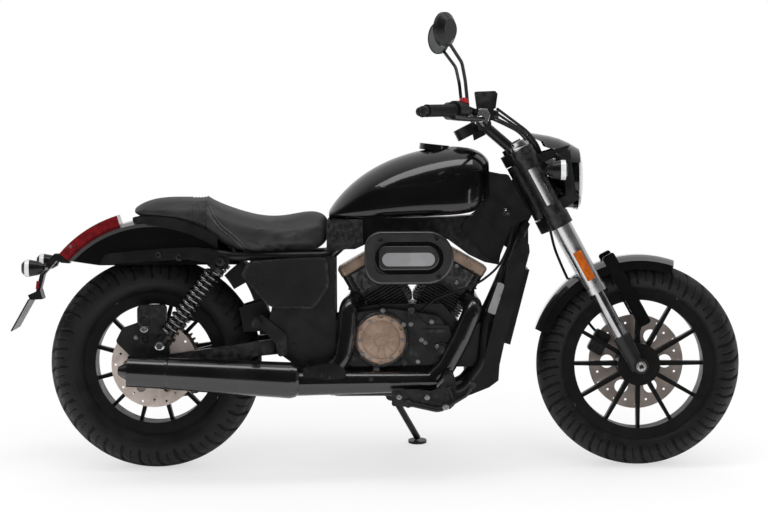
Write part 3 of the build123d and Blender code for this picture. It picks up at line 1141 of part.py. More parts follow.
pedal = fused(*tube_run(PEDAL, 7, [40, 30]), cross(30, 206, 220, 244, 11), cross(214, 262, 236, 284, 10),
              pedal_rod,
              cross(150, 248, 220, 236, 8))
node("foot_pedals", cut(both(pedal), *NODES["footrests"], *NODES["exhaust"], *frame))

# ------------------------------------------------------------------ side stand
STAND_PIVOT = (-20.0, 152.0, 204.0)
STAND_AXIS = Vector(-0.131, 1.0, 0.35).normalized()
STAND_FOOT_X, STAND_FOOT_Y = 62.0, 262.0
FOOT_T = 8.0
lean_tan = math.tan(math.radians(LEAN))
GROUND_LIFT = CROWN_R * (1 - math.cos(math.radians(LEAN)))
foot_z = STAND_FOOT_Y * lean_tan - GROUND_LIFT / math.cos(math.radians(LEAN))
stand_lug = block(STAND_PIVOT[0] - 18, STAND_PIVOT[0] + 22, CRADLE_HALF - 12, CRADLE_HALF + 8, 194,
                  CRADLE_LOW)
pivot_low = Vector(*STAND_PIVOT) - STAND_AXIS * 9
pivot_high = Vector(*STAND_PIVOT) + STAND_AXIS * 9
stand_leg = rod(STAND_PIVOT, (STAND_FOOT_X, STAND_FOOT_Y, foot_z + FOOT_T + 6), 10)
stand_head = rod(tuple(pivot_low), tuple(pivot_high), 20)
foot_plane = Plane(origin=(STAND_FOOT_X, STAND_FOOT_Y, foot_z), x_dir=(1, 0, 0),
                   z_dir=(0, -math.sin(math.radians(LEAN)), math.cos(math.radians(LEAN))))
stand_foot = Solid.make_cylinder(28, FOOT_T, foot_plane)
hinge_low = Vector(*STAND_PIVOT) - STAND_AXIS * 30
bolt_top = pivot_high + STAND_AXIS * 7
hinge_boss = rod(tuple(hinge_low), tuple(pivot_low - STAND_AXIS * 0.5), 18)
bolt_head = rod(tuple(pivot_high + STAND_AXIS * 0.5), tuple(bolt_top), 11)
bolt = rod(tuple(hinge_low), tuple(bolt_top), 6)
bolt_hole = rod(tuple(hinge_low), tuple(bolt_top), 6 + RUNNING)
boss_space = rod(tuple(hinge_low - STAND_AXIS * 20), tuple(pivot_low), 40)
head_space = rod(tuple(pivot_high), tuple(pivot_high + STAND_AXIS * 20), 40)
stand = cut(fused(cut([stand_leg], boss_space, head_space), stand_head, stand_foot), bolt_hole)
node("side_stand", stand)
stand_bracket = cut(fused(hinge_boss, bolt, bolt_head, stand_lug), *NODES["footrests"])
NODES["cradle"] = fused(*NODES["cradle"], *stand_bracket)

# ------------------------------------------------------------------ clutch cable
CLUTCH_CABLE = [(340, -61.5, 706), (328, -84, 650), (296, -118, 590), (236, -134, 544), (170, -139, 522),
                (104, -136, 498), (66, -130, 456)]
clutch_cable = cable(CLUTCH_CABLE, CABLE_R, "clutch cable")
touched = ("crankcase", "neck_covers", "frame", "cradle", "cylinders", "exhaust", "radiator_shroud",
           "air_cleaner")
node("clutch_cable", cut(clutch_cable, *[solid for name in touched for solid in NODES[name]]))

# ------------------------------------------------------------------ stand it on its side stand and save
LIFT = Vector(0, 0, GROUND_LIFT)


def leaned(solid):
    """A solid of the upright machine, leaned to the left onto the stand."""
    return solid.rotate(Axis((0, 0, 0), (1, 0, 0)), -LEAN).translate(LIFT)


STANDING = {name: [leaned(solid) for solid in solids] for name, solids in NODES.items()}
reach = Compound([solid for solids in STANDING.values() for solid in solids]).bounding_box()
CENTRE = Vector((reach.min.X + reach.max.X) / 2, (reach.min.Y + reach.max.Y) / 2, 0)
for name, solids in STANDING.items():
    export_step(Compound([solid.translate(-CENTRE) for solid in solids]), f"parts/{name}.step")
print(len(NODES), "nodes; size", [round(value, 1) for value in reach.size], "lowest",
      round(reach.min.Z, 3))
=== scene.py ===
# %% [markdown]
# # A cruiser motorcycle, dressed in Blender
#
# The motorcycle's working parts come from a CAD model: frame, engine, wheels, fork,
# tank and all the levers, each one a mesh of the right size in the right place. This
# lesson dresses that model. Each finish is made from shader nodes, and each piece that
# the CAD keeps plain, such as the tyres' tread or the padded seat, is built here.
#
# The first cell loads the model.

# %% Load the CAD model
import json
import math

import bmesh
import bpy
from mathutils import Matrix, Vector
from mathutils.bvhtree import BVHTree


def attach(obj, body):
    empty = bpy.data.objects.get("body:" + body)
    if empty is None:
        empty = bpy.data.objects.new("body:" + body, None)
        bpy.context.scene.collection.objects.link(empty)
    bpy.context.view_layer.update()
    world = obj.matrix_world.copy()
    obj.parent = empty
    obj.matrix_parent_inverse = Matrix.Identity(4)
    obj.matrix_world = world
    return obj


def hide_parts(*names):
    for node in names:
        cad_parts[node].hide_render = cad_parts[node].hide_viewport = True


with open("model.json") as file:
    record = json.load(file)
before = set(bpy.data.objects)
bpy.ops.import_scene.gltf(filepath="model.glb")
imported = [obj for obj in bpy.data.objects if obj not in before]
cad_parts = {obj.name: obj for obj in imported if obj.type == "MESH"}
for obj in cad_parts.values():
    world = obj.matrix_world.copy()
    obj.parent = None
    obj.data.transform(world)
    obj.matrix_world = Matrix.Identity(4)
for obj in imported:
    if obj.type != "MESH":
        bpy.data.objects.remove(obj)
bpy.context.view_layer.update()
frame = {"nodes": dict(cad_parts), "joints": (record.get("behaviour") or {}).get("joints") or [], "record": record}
nodes = frame["nodes"]

# %% [markdown]
# ## Working on an upright machine
#
# The motorcycle stands on its side stand, so everything in the model leans a few degrees
# to the left. Numbers are far easier to read on an upright machine, so every piece
# below is drawn upright, in millimetres: x forward from half-way between the axles, y to
# the left of the middle, z up from the ground. One matrix then leans it into place. The
# lean is not typed in: it is read from the front wheel's axle, which is level across an
# upright machine and slopes by the lean on this one.

# %% The matrix from the upright machine to the model
joints = {joint["name"]: joint for joint in frame["joints"]}
axle = joints["front_wheel_spin"]
LEAN = math.atan2(-axle["axis"][2], axle["axis"][1])
HALF_BASE, FRONT_RADIUS, REAR_RADIUS = 710, 299, 310.5      # half the wheelbase, and the tyres' radii
FRONT_AXLE, REAR_AXLE = Vector((HALF_BASE, 0, FRONT_RADIUS)), Vector((-HALF_BASE, 0, REAR_RADIUS))
turn = Matrix.Rotation(-LEAN, 4, "X")
shift = Vector(axle["pos_m"]) - turn @ (FRONT_AXLE * 0.001)
STAND = Matrix.Translation(shift) @ turn
MACHINE = STAND @ Matrix.Scale(0.001, 4)
print("lean:", round(math.degrees(LEAN), 2), "degrees; origin shifts by", [round(v, 4) for v in shift])

# %% [markdown]
# ## The camera
#
# A long lens from far away keeps the two wheels the same shape, as in a catalogue
# picture. The camera is placed on the upright machine too, eight metres out from the
# right side and as high as the tank's top, tipped down by under three degrees. Leaning
# the camera with the machine keeps the wheels upright in the picture. The Standard view
# transform shows each colour as it is written, so white paper comes out white.

# %% Camera
SENSOR_MM = 36.0
FOCAL_PIXELS, PICTURE_PIXELS = 2716, 768      # the focal length and the picture's width, both in pixels
CAMERA_PLACE = (-0.0368, -8.0, 1.0205)
TIPPED_DOWN, TURNED = 2.87, -0.34             # degrees
camera_data = bpy.data.cameras.new("side_camera")
camera_data.sensor_width = SENSOR_MM
camera_data.lens = SENSOR_MM * FOCAL_PIXELS / PICTURE_PIXELS
camera_data.clip_end = 100.0
camera = bpy.data.objects.new("side_camera", camera_data)
bpy.context.scene.collection.objects.link(camera)
aim = Matrix.Rotation(math.radians(90 - TIPPED_DOWN), 4, "X") @ Matrix.Rotation(math.radians(TURNED), 4, "Z")
camera.matrix_world = STAND @ Matrix.Translation(CAMERA_PLACE) @ aim
bpy.context.scene.camera = camera
bpy.context.scene.view_settings.view_transform = "Standard"
print("camera at", [round(v, 2) for v in camera.matrix_world.translation], "lens", round(camera_data.lens, 1))

# %% [markdown]
# ## Studio light
#
# Black paint shows almost nothing of itself: what we see is the studio in it. A few soft
# boxes do the work. A long one above draws the bright line along the tank, the seat
# and the fenders, two on the camera's side open up the engine, and one behind lights
# the far side. Those three are kept out of the mirror rays, or the tank would show
# white windows and the fenders a white rim. Last, a narrow strip stands in front, to
# draw the thin upright line that tells the eye where the tank's side turns into its
# front.

# %% Soft boxes
SOFT_BOXES = [
    # name, place (x, y, z) in metres, point aimed at, width, height, watts, mirrored in gloss
    ("overhead", (0.1, -0.3, 3.4), (0.0, 0.0, 0.5), 3.6, 0.8, 30, True),
    ("front_near", (1.9, -3.6, 2.6), (0.3, 0.0, 0.6), 1.6, 1.2, 20, False),
    ("rear_near", (-2.4, -3.2, 2.0), (-0.4, 0.0, 0.5), 1.4, 1.2, 14, False),
    ("behind", (0.2, 3.4, 2.4), (0.0, 0.0, 0.7), 3.6, 1.0, 16, False),
    ("front_strip", (3.3, -2.0, 1.0), (0.2, -0.1, 0.8), 0.30, 1.3, 2.2, True),
]
for name, place, target, width, height, watts, mirrored in SOFT_BOXES:
    data = bpy.data.lights.new(name, "AREA")
    data.shape, data.size, data.size_y, data.energy = "RECTANGLE", width, height, watts
    lamp = bpy.data.objects.new(name, data)
    bpy.context.scene.collection.objects.link(lamp)
    lamp.location = place
    lamp.rotation_euler = (Vector(target) - Vector(place)).to_track_quat("-Z", "Y").to_euler()
    lamp.visible_glossy = mirrored
print("soft boxes:", [row[0] for row in SOFT_BOXES])

# %% [markdown]
# ## World
#
# The background is plain white. To keep that white off the black paint, the world looks
# at what kind of ray asks. A camera ray sees white. A mirror ray sees a pale wall behind
# the machine and a dim room on the near side, as in a studio whose near side is left
# dark. A light ray sees an even grey.


# %% Helpers for node trees
def link(tree, start, end):
    """Joins one node's output to another's input."""
    tree.links.new(start, end)


def math_node(tree, kind, a, b=None, clamp=False):
    """A Math node; a and b are sockets or numbers. Returns its output."""
    made = tree.nodes.new("ShaderNodeMath")
    made.operation, made.use_clamp = kind, clamp
    for socket, value in zip(made.inputs, (a, b)):
        if value is None:
            continue
        if isinstance(value, (int, float)):
            socket.default_value = value
        else:
            link(tree, value, socket)
    return made.outputs[0]


def blank_world(name):
    """The scene's world with an empty node tree."""
    made = bpy.data.worlds.new(name)
    made.use_nodes = True
    made.node_tree.nodes.clear()
    bpy.context.scene.world = made
    return made.node_tree


def blend_range(tree, value, low, high, to_low, to_high):
    """A Map Range with a soft start and end. Returns its output."""
    made = tree.nodes.new("ShaderNodeMapRange")
    made.interpolation_type = "SMOOTHSTEP"
    link(tree, value, made.inputs["Value"])
    for title, number in (("From Min", low), ("From Max", high), ("To Min", to_low), ("To Max", to_high)):
        made.inputs[title].default_value = number
    return made.outputs["Result"]


print("helpers for node trees are ready")

# %% World
NEAR_ROOM, FAR_WALL, EVEN_GREY = 0.03, 0.62, 0.82      # strengths, where 1 is white
NEAR_TO_FAR = (-0.35, 0.45)      # over this part of a ray's y the near room turns into the far wall
tree = blank_world("white_studio")
path = tree.nodes.new("ShaderNodeLightPath")
place = tree.nodes.new("ShaderNodeTexCoord")
split = tree.nodes.new("ShaderNodeSeparateXYZ")
link(tree, place.outputs["Generated"], split.inputs[0])
behind = blend_range(tree, split.outputs["Y"], *NEAR_TO_FAR, NEAR_ROOM, FAR_WALL)
room, white, grey = (tree.nodes.new("ShaderNodeBackground") for _ in range(3))
link(tree, behind, room.inputs["Strength"])
white.inputs["Strength"].default_value = 1.0
grey.inputs["Strength"].default_value = EVEN_GREY
for background in (room, white, grey):
    background.inputs["Color"].default_value = (1, 1, 1, 1)
mirrored = math_node(tree, "MAXIMUM", path.outputs["Is Glossy Ray"], path.outputs["Is Transmission Ray"])
first, second = tree.nodes.new("ShaderNodeMixShader"), tree.nodes.new("ShaderNodeMixShader")
link(tree, mirrored, first.inputs[0])
link(tree, grey.outputs[0], first.inputs[1])
link(tree, room.outputs[0], first.inputs[2])
link(tree, path.outputs["Is Camera Ray"], second.inputs[0])
link(tree, first.outputs[0], second.inputs[1])
link(tree, white.outputs[0], second.inputs[2])
link(tree, second.outputs[0], tree.nodes.new("ShaderNodeOutputWorld").inputs[0])
print("world nodes:", len(tree.nodes))

# %% [markdown]
# ### Paper floor
#
# The floor is a large sheet of white paper that catches the machine's soft shadow. A
# plain sheet would end in a grey line where it meets the background. So it glows as
# white as the background, but only further out and only where the camera looks: near
# the machine it is mostly paper, with its shadow.


# %% Floor
def blank_material(name):
    """A material with an empty node tree."""
    made = bpy.data.materials.new(name)
    made.use_nodes = True
    made.node_tree.nodes.clear()
    return made


HALF_FLOOR = 30.0                                     # metres
FADE_START, FADE_END, NEAR_GLOW = 1.05, 1.8, 0.6      # metres from the middle, and the glow near it
PAPER_WHITE = 0.985
floor_mesh = bpy.data.meshes.new("paper_floor")
corners = [(x * HALF_FLOOR, y * HALF_FLOOR, 0) for x, y in ((-1, -1), (1, -1), (1, 1), (-1, 1))]
floor_mesh.from_pydata(corners, [], [(0, 1, 2, 3)])
floor = bpy.data.objects.new("paper_floor", floor_mesh)
bpy.context.scene.collection.objects.link(floor)
paper = blank_material("white_paper")
tree = paper.node_tree
position = tree.nodes.new("ShaderNodeTexCoord")
reach = tree.nodes.new("ShaderNodeVectorMath")
reach.operation = "LENGTH"
link(tree, position.outputs["Object"], reach.inputs[0])
fade = blend_range(tree, reach.outputs["Value"], FADE_START, FADE_END, NEAR_GLOW, 1.0)
path = tree.nodes.new("ShaderNodeLightPath")
seen = math_node(tree, "MAXIMUM", path.outputs["Is Camera Ray"], path.outputs["Is Transmission Ray"])
sheet = tree.nodes.new("ShaderNodeBsdfDiffuse")
sheet.inputs["Color"].default_value = (PAPER_WHITE, PAPER_WHITE, PAPER_WHITE, 1)
glow = tree.nodes.new("ShaderNodeEmission")
mix = tree.nodes.new("ShaderNodeMixShader")
link(tree, math_node(tree, "MULTIPLY", fade, seen), mix.inputs[0])
link(tree, sheet.outputs[0], mix.inputs[1])
link(tree, glow.outputs[0], mix.inputs[2])
link(tree, mix.outputs[0], tree.nodes.new("ShaderNodeOutputMaterial").inputs[0])
floor_mesh.materials.append(paper)
print("floor at z =", round(floor.location.z, 4))

# %% [markdown]
# ## Shared effects, as node groups
#
# Several finishes need the same small effects: a fine grain, pale sharp edges that are
# partly scuffed paint and partly a painted highlight, dust that has settled on top, and
# brushed lines. A node group is built once and placed in each material with its own
# values, so that a change to the group shows everywhere. The groups give masks and
# heights only. The shader itself stays in each material.


# %% A maker for node groups
def new_group(name, inputs, outputs):
    """An empty shader group with float inputs (name, value) and float outputs."""
    group = bpy.data.node_groups.new(name, "ShaderNodeTree")
    for title, value in inputs:
        socket = group.interface.new_socket(name=title, in_out="INPUT", socket_type="NodeSocketFloat")
        socket.default_value = value
    for title in outputs:
        group.interface.new_socket(name=title, in_out="OUTPUT", socket_type="NodeSocketFloat")
    return group, group.nodes.new("NodeGroupInput"), group.nodes.new("NodeGroupOutput")


def object_coords(tree):
    """The object's own coordinates, in metres."""
    return tree.nodes.new("ShaderNodeTexCoord").outputs["Object"]


def noise_node(tree, vector, size_mm, detail=2.0, rough=0.5):
    """Noise whose spots are size_mm wide, which is a socket. Returns its value output."""
    made = tree.nodes.new("ShaderNodeTexNoise")
    made.inputs["Detail"].default_value = detail
    made.inputs["Roughness"].default_value = rough
    link(tree, vector, made.inputs["Vector"])
    link(tree, math_node(tree, "DIVIDE", 1000.0, size_mm), made.inputs["Scale"])
    return made.outputs["Fac"]


def remap(tree, value, low, high, to_low=0.0, to_high=1.0):
    """A clamped Map Range; low and high are numbers or sockets. Returns its output."""
    made = tree.nodes.new("ShaderNodeMapRange")
    titles = ("Value", "From Min", "From Max", "To Min", "To Max")
    for title, given in zip(titles, (value, low, high, to_low, to_high)):
        if isinstance(given, (int, float)):
            made.inputs[title].default_value = given
        else:
            link(tree, given, made.inputs[title])
    return made.outputs["Result"]


print("group helpers are ready")

# %% [markdown]
# ### Fine grain
#
# Cast metal, moulded plastic and rubber are never quite smooth. Two sizes of noise give
# a height for the bump and a slow mottle that shifts colour and roughness a little. The
# texture runs on the object's own coordinates, in metres, so its scale is the real one.

# %% Group: FineGrain
MOTTLE_RANGE = (0.36, 0.64)      # noise below and above this is the first and the second shade
grain, given, result = new_group("FineGrain", [("Size mm", 1.0), ("Mottle mm", 40.0)], ["Height", "Mottle"])
coords = object_coords(grain)
fine = noise_node(grain, coords, given.outputs["Size mm"], 3.0, 0.6)
slow = noise_node(grain, coords, given.outputs["Mottle mm"])
link(grain, fine, result.inputs["Height"])
link(grain, remap(grain, slow, *MOTTLE_RANGE), result.inputs["Mottle"])
print("group FineGrain:", len(grain.nodes), "nodes")

# %% [markdown]
# ### Scuffed and highlighted edges
#
# Paint rubs thin first on sharp outer edges. The pale colour laid there is partly that
# scuffing and partly a painted highlight, which draws each edge the way catching light would.
# Cycles can tell how sharp a spot is, as the Geometry node's Pointiness, and a noise
# breaks the line up so that it doesn't look drawn.

# %% Group: EdgeWear
WEAR_AND_HIGHLIGHT_PATCHES = (0.42, 0.62)      # noise below this keeps its paint, above it gets the pale edge of scuffing and painted highlight
# The mask paints sharp edges pale: partly scuffed paint, partly a painted highlight.
wear_and_highlight, given, result = new_group("EdgeWear", [("Start", 0.54), ("End", 0.62), ("Patch mm", 14.0)], ["Wear"])
pointed = wear_and_highlight.nodes.new("ShaderNodeNewGeometry").outputs["Pointiness"]
sharp = remap(wear_and_highlight, pointed, given.outputs["Start"], given.outputs["End"])
patch = noise_node(wear_and_highlight, object_coords(wear_and_highlight), given.outputs["Patch mm"], 4.0, 0.65)
link(wear_and_highlight, math_node(wear_and_highlight, "MULTIPLY", sharp, remap(wear_and_highlight, patch, *WEAR_AND_HIGHLIGHT_PATCHES)), result.inputs["Wear"])
print("group EdgeWear:", len(wear_and_highlight.nodes), "nodes")

# %% [markdown]
# ### Dust
#
# Dust lies on faces that look up and not on those that look sideways, so the mask is the
# height of the surface's normal, broken up by noise.

# %% Group: DustFilm
DUST_SLOPE, DUST_PATCHES = (0.2, 1.0), (0.35, 0.7)      # the normal's z, and the noise, from bare to dusty
dust, given, result = new_group("DustFilm", [("Amount", 0.3), ("Patch mm", 60.0)], ["Dust"])
facing = dust.nodes.new("ShaderNodeSeparateXYZ")
link(dust, dust.nodes.new("ShaderNodeNewGeometry").outputs["Normal"], facing.inputs[0])
patch = noise_node(dust, object_coords(dust), given.outputs["Patch mm"], 5.0, 0.7)
upward = remap(dust, facing.outputs["Z"], *DUST_SLOPE)
spread = math_node(dust, "MULTIPLY", upward, remap(dust, patch, *DUST_PATCHES))
link(dust, math_node(dust, "MULTIPLY", spread, given.outputs["Amount"]), result.inputs["Dust"])
print("group DustFilm:", len(dust.nodes), "nodes")

# %% [markdown]
# ### Brushed lines
#
# Turned and brushed steel shows fine parallel lines. A noise that is squeezed hard along
# one axis makes them. The stretch is across the machine, which suits its tubes and discs.

# %% Group: BrushedLines
LINE_STRETCH, LINE_RANGE = (1.0, 0.04, 1.0), (0.3, 0.7)      # a line is 25 times as long as it is wide
brushed, given, result = new_group("BrushedLines", [("Line mm", 0.6)], ["Lines"])
squeeze = brushed.nodes.new("ShaderNodeMapping")
squeeze.inputs["Scale"].default_value = LINE_STRETCH
link(brushed, object_coords(brushed), squeeze.inputs["Vector"])
lines = noise_node(brushed, squeeze.outputs[0], given.outputs["Line mm"])
link(brushed, remap(brushed, lines, *LINE_RANGE), result.inputs["Lines"])
print("group BrushedLines:", len(brushed.nodes), "nodes")

# %% [markdown]
# ## One maker for the finishes
#
# Nearly every finish here is the same recipe: a Principled shader with its plain values,
# a mottle that shifts the colour between two close shades, a roughness that wanders with
# the same mottle, and a grain for the bump. Pale sharp edges, partly scuffed paint and
# partly a painted highlight, and dust come on top where a piece has them. Values that
# are the same all over are set on the shader's own sockets.


# %% Helpers that a material's tree needs
def place_group(tree, group, **values):
    """A group node in a material, with its inputs set."""
    made = tree.nodes.new("ShaderNodeGroup")
    made.node_tree = group
    for title, value in values.items():
        made.inputs[title.replace("_", " ")].default_value = value
    return made


def mix_colour(tree, mask, a, b):
    """A colour between a and b by a mask; a and b are colours or sockets."""
    made = tree.nodes.new("ShaderNodeMix")
    made.data_type = "RGBA"
    link(tree, mask, made.inputs["Factor"])
    for socket, value in ((made.inputs[6], a), (made.inputs[7], b)):
        if isinstance(value, tuple):
            socket.default_value = (*value, 1)
        else:
            link(tree, value, socket)
    return made.outputs[2]


def close_tree(tree, shader, height, bump_mm):
    """Feeds a height to the shader as a bump, if any, and the shader to the material's output."""
    if bump_mm:
        relief = tree.nodes.new("ShaderNodeBump")
        relief.inputs["Distance"].default_value = bump_mm * 0.001
        link(tree, height, relief.inputs["Height"])
        link(tree, relief.outputs[0], shader.inputs["Normal"])
    link(tree, shader.outputs[0], tree.nodes.new("ShaderNodeOutputMaterial").inputs[0])


print("groups to place:", ", ".join(group.name for group in (grain, wear_and_highlight, dust, brushed)))

DUST_COLOUR, DUST_ROUGH, LINE_ROUGH = (0.23, 0.21, 0.19), 0.4, 0.12      # what dust and lines add


def finish(name, dark, light, rough, grain_mm, bump_mm, metallic=0.0, mottle_mm=40.0, coat=0.0,
           coat_rough=0.03, worn_and_lit=None, dusty=0.0, lines_mm=None, specular=0.5):
    """A finish: two close colours, (lowest, highest) roughness, grain size and bump in mm."""
    made = blank_material(name)
    tree = made.node_tree
    shader = tree.nodes.new("ShaderNodeBsdfPrincipled")
    shader.inputs["Metallic"].default_value = metallic
    shader.inputs["Coat Weight"].default_value = coat
    shader.inputs["Coat Roughness"].default_value = coat_rough
    shader.inputs["Specular IOR Level"].default_value = specular
    surface = place_group(tree, grain, Size_mm=grain_mm, Mottle_mm=mottle_mm)
    shade = mix_colour(tree, surface.outputs["Mottle"], dark, light)
    roughness = remap(tree, surface.outputs["Mottle"], 0.0, 1.0, *rough)
    height = surface.outputs["Height"]
    if lines_mm:
        streak = place_group(tree, brushed, Line_mm=lines_mm).outputs["Lines"]
        roughness = math_node(tree, "ADD", roughness, math_node(tree, "MULTIPLY", streak, LINE_ROUGH))
        height = streak
    # Pale sharp edges: partly scuffed paint, partly a painted highlight.
    if worn_and_lit:
        rubbed_and_lit = place_group(tree, wear_and_highlight).outputs["Wear"]
        shade = mix_colour(tree, rubbed_and_lit, shade, worn_and_lit)
    if dusty:
        settled = place_group(tree, dust, Amount=dusty).outputs["Dust"]
        shade = mix_colour(tree, settled, shade, DUST_COLOUR)
        roughness = math_node(tree, "ADD", roughness, math_node(tree, "MULTIPLY", settled, DUST_ROUGH), True)
    link(tree, shade, shader.inputs["Base Color"])
    link(tree, roughness, shader.inputs["Roughness"])
    close_tree(tree, shader, height, bump_mm)
    return made


FINISHES = {}


def mix_finishes(rows):
    """Makes the finish of each row of a table and keeps it in FINISHES by its name."""
    for name, dark, light, rough, grain_mm, bump_mm, more in rows:
        FINISHES[name] = finish(name, dark, light, rough, grain_mm, bump_mm, **more)
    print(len(rows), "finishes:", ", ".join(row[0] for row in rows))


# %% [markdown]
# ## Paints
#
# The machine is black from end to end, so the whole look rests on telling one black from
# another. Gloss paint is black under a clear coat, satin paint is rougher and a shade
# lighter, and cast engine cases are grainy, with their sharp edges painted pale: partly
# scuffed paint and partly a painted highlight that draws their outline. Satin paint and the
# side covers get a fainter pale edge of the same kind. The exhaust's heat-proof paint, the
# rims and the side covers are each a little different again. The numbers are small: these
# paints give back about one part in a hundred of the light or less, and the rest of what we
# see on them is gloss.

# %% Paints
# name, darker colour, lighter colour, (lowest, highest) roughness, grain mm, bump mm, the rest by name
PAINTS = [
    ("gloss_black", (0.0018, 0.0018, 0.002), (0.003, 0.003, 0.0034), (0.16, 0.22), 0.5, 0.0,
     dict(coat=1.0, mottle_mm=160, specular=0.2)),
    # satin, engine and cover paints give sharp edges a pale colour: partly scuffed paint, partly a painted
    # highlight
    ("satin_black", (0.0045, 0.0045, 0.0048), (0.0075, 0.0075, 0.0078), (0.30, 0.38), 0.6, 0.015,
     dict(worn_and_lit=(0.028, 0.028, 0.029), dusty=0.03, specular=0.42)),
    ("engine_black", (0.0045, 0.0045, 0.0048), (0.0085, 0.0085, 0.0088), (0.26, 0.38), 0.8, 0.05,
     dict(worn_and_lit=(0.10, 0.10, 0.102), dusty=0.03, specular=0.55)),
    ("dark_grey", (0.012, 0.012, 0.0125), (0.017, 0.017, 0.0175), (0.30, 0.36), 0.5, 0.015,
     dict(coat=0.8, coat_rough=0.22, specular=0.6)),
    ("exhaust_black", (0.0025, 0.0025, 0.0026), (0.004, 0.004, 0.0042), (0.22, 0.30), 0.5, 0.004,
     dict(coat=1.0, coat_rough=0.08, mottle_mm=90, dusty=0.015, specular=0.4)),
    ("rim_black", (0.004, 0.004, 0.0042), (0.0065, 0.0065, 0.0068), (0.34, 0.44), 0.5, 0.0,
     dict(dusty=0.02, specular=0.16)),
    ("cover_black", (0.0045, 0.0045, 0.0047), (0.0062, 0.0062, 0.0064), (0.22, 0.28), 0.5, 0.0,
     dict(coat=1.0, coat_rough=0.14, worn_and_lit=(0.035, 0.035, 0.036), mottle_mm=120, specular=0.6)),
]
mix_finishes(PAINTS)

# %% [markdown]
# ## Metals
#
# Bare metal has no colour of its own under its gloss: Metallic 1 makes the base colour
# tint the reflection. Polished parts get a low roughness, and turned ones get brushed
# lines. Bronze and the brake discs are less than fully metallic, because lacquer and
# fine scratches scatter some light, which lets their colour show on a side that mirrors
# a dark room.

# %% Metals
# name, darker colour, lighter colour, (lowest, highest) roughness, grain mm, bump mm, the rest by name
METALS = [
    # bronze's pale edge colour: partly scuffed lacquer, partly a painted highlight
    ("bronze", (0.40, 0.285, 0.215), (0.50, 0.36, 0.275), (0.26, 0.34), 0.6, 0.02,
     dict(metallic=0.6, worn_and_lit=(0.42, 0.32, 0.24))),
    ("silver", (0.66, 0.66, 0.67), (0.74, 0.74, 0.75), (0.24, 0.32), 0.6, 0.01, dict(metallic=1.0)),
    ("chrome", (0.50, 0.50, 0.51), (0.62, 0.62, 0.63), (0.08, 0.14), 0.6, 0.0, dict(metallic=1.0)),
    ("steel", (0.46, 0.39, 0.35), (0.60, 0.53, 0.48), (0.24, 0.36), 0.6, 0.02,
     dict(metallic=1.0, lines_mm=0.8)),
    ("disc_steel", (0.50, 0.42, 0.375), (0.64, 0.55, 0.50), (0.34, 0.44), 0.6, 0.01,
     dict(metallic=0.35, lines_mm=0.8)),
    ("spring_chrome", (0.22, 0.22, 0.225), (0.34, 0.34, 0.345), (0.12, 0.20), 0.6, 0.0, dict(metallic=1.0)),
    ("lamp_metal", (0.80, 0.80, 0.81), (0.86, 0.86, 0.87), (0.04, 0.08), 0.6, 0.0, dict(metallic=1.0)),
    ("looking_glass", (0.16, 0.165, 0.17), (0.19, 0.195, 0.20), (0.01, 0.03), 0.6, 0.0, dict(metallic=1.0)),
    ("chain_steel", (0.10, 0.10, 0.10), (0.20, 0.19, 0.18), (0.32, 0.46), 0.5, 0.02,
     dict(metallic=1.0, dusty=0.12)),
    ("plate_grey", (0.42, 0.42, 0.43), (0.47, 0.47, 0.48), (0.28, 0.36), 0.5, 0.01, dict(metallic=0.6)),
    ("bolt_zinc", (0.42, 0.42, 0.43), (0.52, 0.52, 0.53), (0.26, 0.36), 0.4, 0.01, dict(metallic=1.0)),
    # the pale edge colour here is partly scuffed paint, partly a painted highlight
    ("bolt_black", (0.012, 0.012, 0.0125), (0.02, 0.02, 0.0205), (0.22, 0.3), 0.4, 0.01,
     dict(metallic=0.5, worn_and_lit=(0.12, 0.12, 0.12))),
    ("steel_dark", (0.05, 0.05, 0.05), (0.08, 0.08, 0.08), (0.26, 0.36), 0.4, 0.01, dict(metallic=0.9)),
]
mix_finishes(METALS)

# %% [markdown]
# ## Rubber, leather and plastic
#
# Rubber is the roughest black on the machine. The seat's leather is the palest, with a
# grain deep enough to see. Plastic has a fine moulded texture. The dial, its print, the
# signal rings and the kill switch are small, so plain values do for them.

# %% Rubber, leather and plastic
# name, darker colour, lighter colour, (lowest, highest) roughness, grain mm, bump mm, the rest by name
SOFT_AND_MOULDED = [
    ("tyre_rubber", (0.0045, 0.0045, 0.0047), (0.008, 0.008, 0.0081), (0.50, 0.62), 0.7, 0.05,
     dict(dusty=0.06, specular=0.35)),
    ("rubber", (0.006, 0.006, 0.006), (0.010, 0.010, 0.010), (0.48, 0.60), 0.5, 0.04, dict(specular=0.3)),
    ("seat_cover", (0.020, 0.020, 0.0205), (0.028, 0.028, 0.0285), (0.42, 0.52), 1.3, 0.14,
     dict(mottle_mm=30, specular=0.4)),
    ("thread", (0.11, 0.11, 0.112), (0.16, 0.16, 0.162), (0.6, 0.7), 0.3, 0.02, dict(mottle_mm=9)),
    ("black_plastic", (0.0035, 0.0035, 0.0037), (0.006, 0.006, 0.0062), (0.34, 0.44), 0.7, 0.035,
     dict(dusty=0.02, specular=0.34)),
    ("dial_black", (0.008, 0.008, 0.009), (0.012, 0.012, 0.013), (0.3, 0.4), 0.3, 0.01, dict(coat=1.0)),
    ("white_print", (0.70, 0.70, 0.70), (0.78, 0.78, 0.78), (0.4, 0.5), 0.3, 0.0, {}),
    # painted reflection: the signal rings' pale colour stands for the light a clear lens catches
    ("signal_pale_reflection", (0.66, 0.67, 0.68), (0.74, 0.75, 0.76), (0.10, 0.16), 0.4, 0.0, dict(coat=1.0)),
    ("red_plastic", (0.36, 0.012, 0.010), (0.42, 0.018, 0.014), (0.28, 0.36), 0.6, 0.03, {}),
]
mix_finishes(SOFT_AND_MOULDED)

